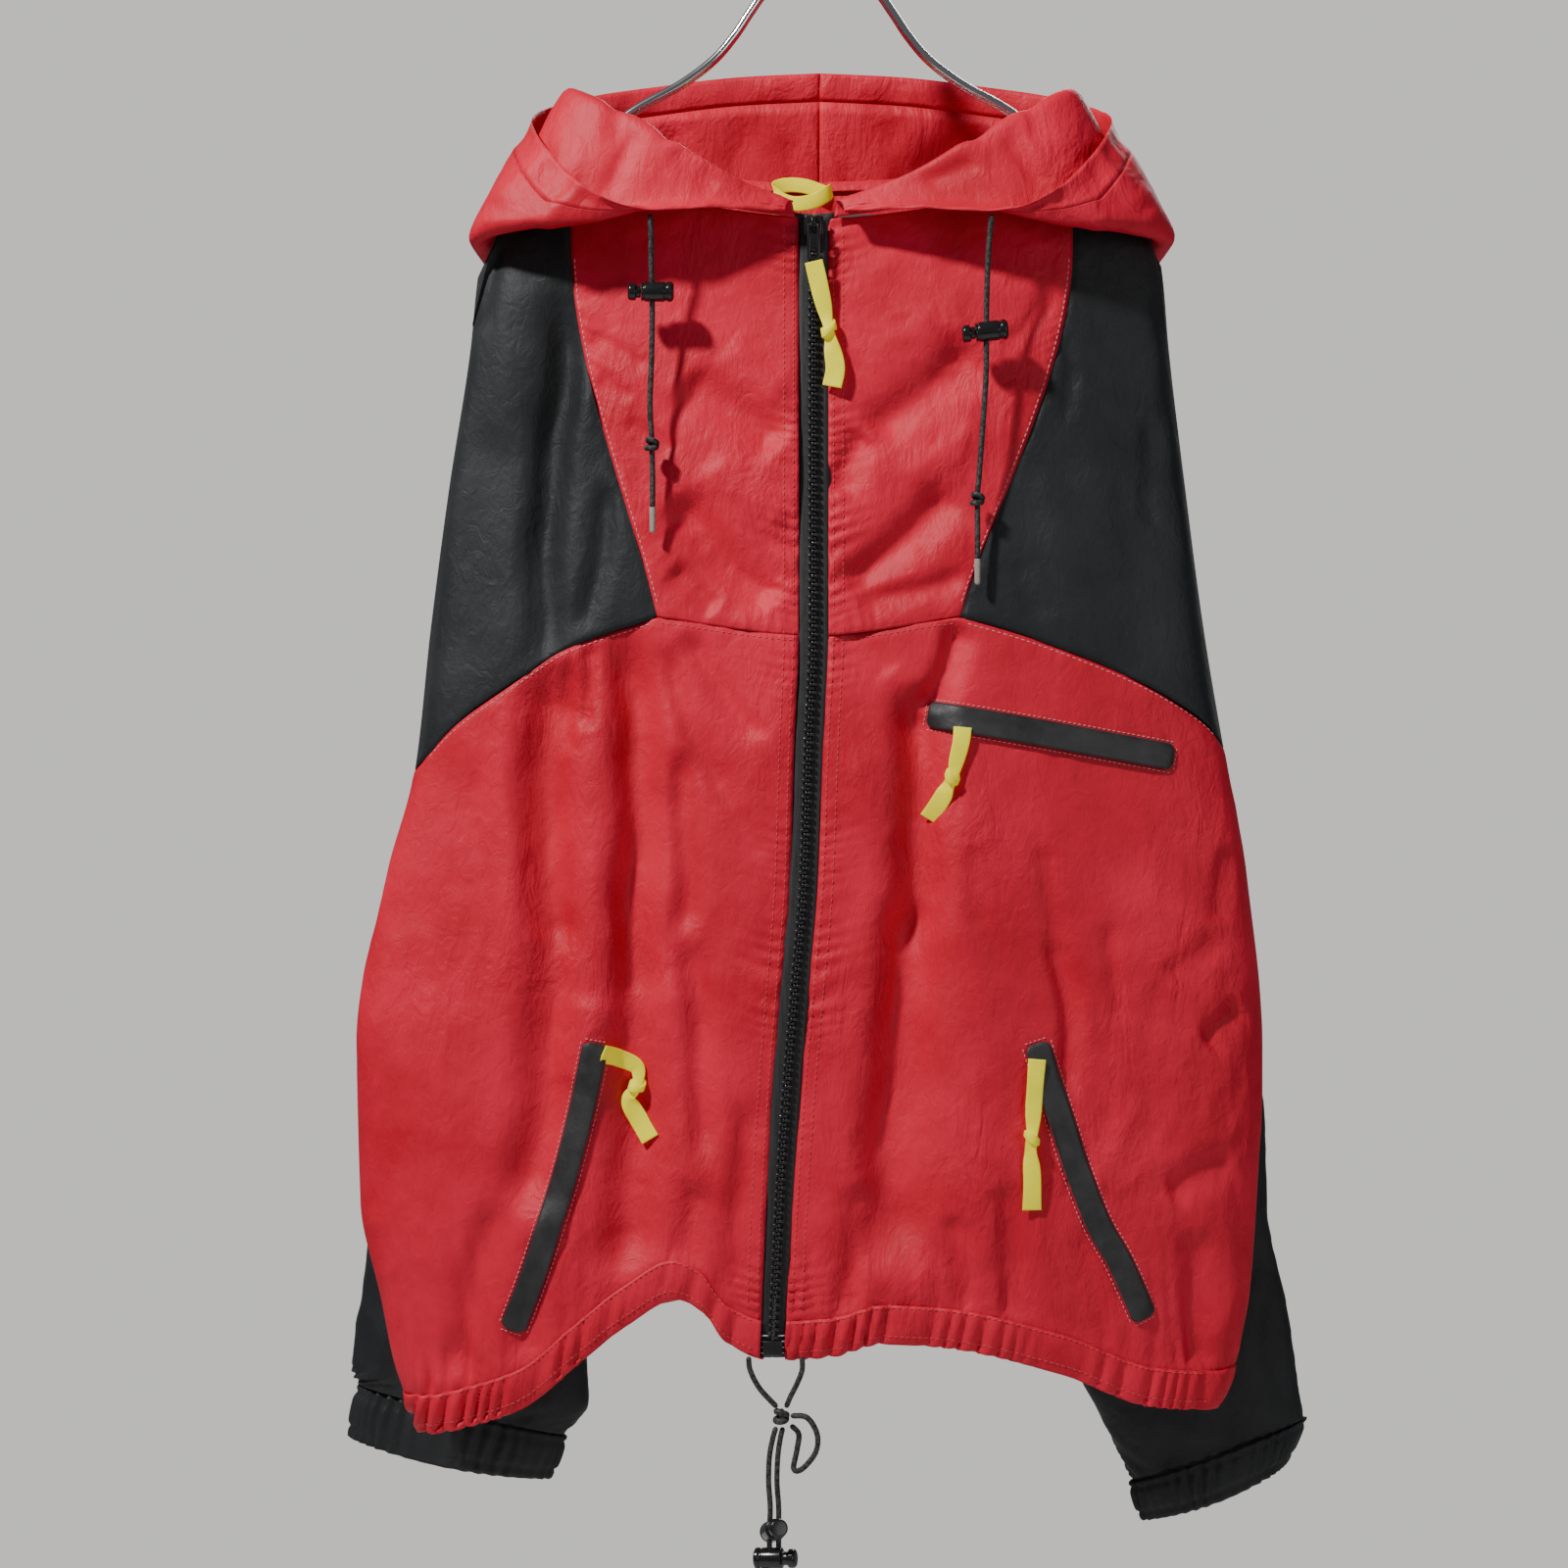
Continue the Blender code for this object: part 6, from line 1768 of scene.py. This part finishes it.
ZIP_ROWS = (3.4, 9.2)                        # rows beside the zip, beyond the tape that shows
ZIP_RUNS = ((-278, -512), (-522, -930))      # above and below the seam
HEM_ROWS = (CASING - 1.6, 3.2)               # heights above the hem's edge
SEAM_DROP = 3.0
for hand, word in ((-1, "right"), (1, "left")):
    rows = []
    for beyond in ZIP_ROWS:
        for top, foot in ZIP_RUNS:
            route = [(zip_x(z) + hand * (tape_half(z) + beyond), z) for z in between(top, foot, 60)]
            rows.append(stitches(on_front(route, word, samples=200)))
    corner = raglan_x(-515, hand)
    xs = between(zip_x(-520) + hand * 12, corner, 30)
    rows.append(stitches(on_front([(x, seam_z(x, hand) - SEAM_DROP) for x in xs], word)))
    xs = between(zip_x(-945) + hand * 12, edge_x(-940, hand) - hand * 26, 60)
    for rise in HEM_ROWS:
        rows.append(stitches(on_front([(x, hem_z(x, -1) + rise) for x in xs], word, off=0.15, samples=260)))
    sewn("front_topstitch_" + word, rows, RED_THREAD)
    slant = [(raglan_x(z, hand) - hand * 2.2, z) for z in between(-296, -508, 40)]
    level = [(x, armhole_z(x, hand) - 2.4) for x in between(corner + hand * 4, hand * 240, 40)]
    sewn("raglan_stitch_" + word, [stitches(on_front(route, word)) for route in (slant, level)], PINK_THREAD)

for name, word, (route, half, free) in (("chest_welt_stitch", "left", CHEST_WELT),
                                        ("hand_welt_stitch_right", "right", HAND_WELT_RIGHT),
                                        ("hand_welt_stitch_left", "left", HAND_WELT_LEFT)):
    line = welt_line(route, 40)
    rows = []
    for side in (-1, 1):
        edge = [here + beside_line(heading(line, k)) * side * (half + 1.5) for k, here in enumerate(line)]
        rows.append(stitches(on_front([(p.x, p.z) for p in edge], word), length=2.2, space=0.9))
    for k, sign in ((0, -1), (len(line) - 1, 1)):
        ahead = heading(line, k)
        across = beside_line(ahead)
        row = [line[k] + ahead * sign * 1.6 + across * half * v for v in (-1, -0.3, 0.3, 1)]
        rows.append(stitches(on_front([(p.x, p.z) for p in row], word, samples=20), length=2.0, space=0.8))
    sewn(name, rows, PINK_THREAD)

bar = []
for z in (-944.5, -948.0, -951.5, -955.0):
    for hand in (-1, 1):
        here = Vector(body_point(zip_x(z), z, -1))
        route = [here + Vector((hand * v, -1.15, 0)) for v in (1.0, 4.0, 7.2)]
        bar.append(stitches(route, length=5.0, space=0.4, thick=0.35))
sewn("box_bar_tacks", bar, WHITE_THREAD)

# %% [markdown]

# %% [markdown]
# ## Light and floor
# One lamp up on the left does most of the work: it is small enough to draw the folds
# and the shadow under the hood. A wide weak one opens the shadows. The floor is far
# below, as under a jacket on a wall hook; it is pale, as is all else round the jacket.

# %% Studio
LIT_PLACE = Vector((0, 0, -0.58))           # what every lamp points at
FLOOR_HEIGHT = -1.62
FLOOR_HALF = 1.5


def lamp(name, place, size, power):
    data = bpy.data.lights.new(name, "AREA")
    data.shape = "DISK"
    data.size = size
    data.energy = power
    thing = bpy.data.objects.new(name, data)
    bpy.context.collection.objects.link(thing)
    thing.location = place
    thing.rotation_euler = (LIT_PLACE - Vector(place)).to_track_quat("-Z", "Y").to_euler()


lamp("key_lamp", (-1.35, -1.22, 1.20), 0.22, 76)
lamp("fill_lamp", (1.5, -1.8, -0.4), 1.4, 8)
lamp("back_lamp", (0.6, 1.8, 0.7), 1.0, 30)
floor_mesh = bpy.data.meshes.new("floor")
corners = [(x * FLOOR_HALF, y * FLOOR_HALF, FLOOR_HEIGHT) for x, y in ((-1, -1), (1, -1), (1, 1), (-1, 1))]
floor_mesh.from_pydata(corners, [], [(0, 1, 2, 3)])
floor = bpy.data.objects.new("floor", floor_mesh)
bpy.context.collection.objects.link(floor)
floor_mesh.materials.append(new_finish("pale_floor", (0.72, 0.71, 0.69), 0.7)[0])
world = bpy.data.worlds.new("pale room")
bpy.context.scene.world = world
world.use_nodes = True
sky = world.node_tree.nodes["Background"]
sky.inputs["Color"].default_value = (0.93, 0.94, 1.0, 1)
sky.inputs["Strength"].default_value = 0.12
seen = world.node_tree.nodes.new("ShaderNodeBackground")
seen.inputs["Color"].default_value = (0.80, 0.79, 0.77, 1)
seen.inputs["Strength"].default_value = 0.9
rays = world.node_tree.nodes.new("ShaderNodeLightPath")
blend = world.node_tree.nodes.new("ShaderNodeMixShader")
world.node_tree.links.new(rays.outputs["Is Camera Ray"], blend.inputs["Fac"])
world.node_tree.links.new(sky.outputs["Background"], blend.inputs[1])
world.node_tree.links.new(seen.outputs["Background"], blend.inputs[2])
world.node_tree.links.new(blend.outputs["Shader"], world.node_tree.nodes["World Output"].inputs["Surface"])
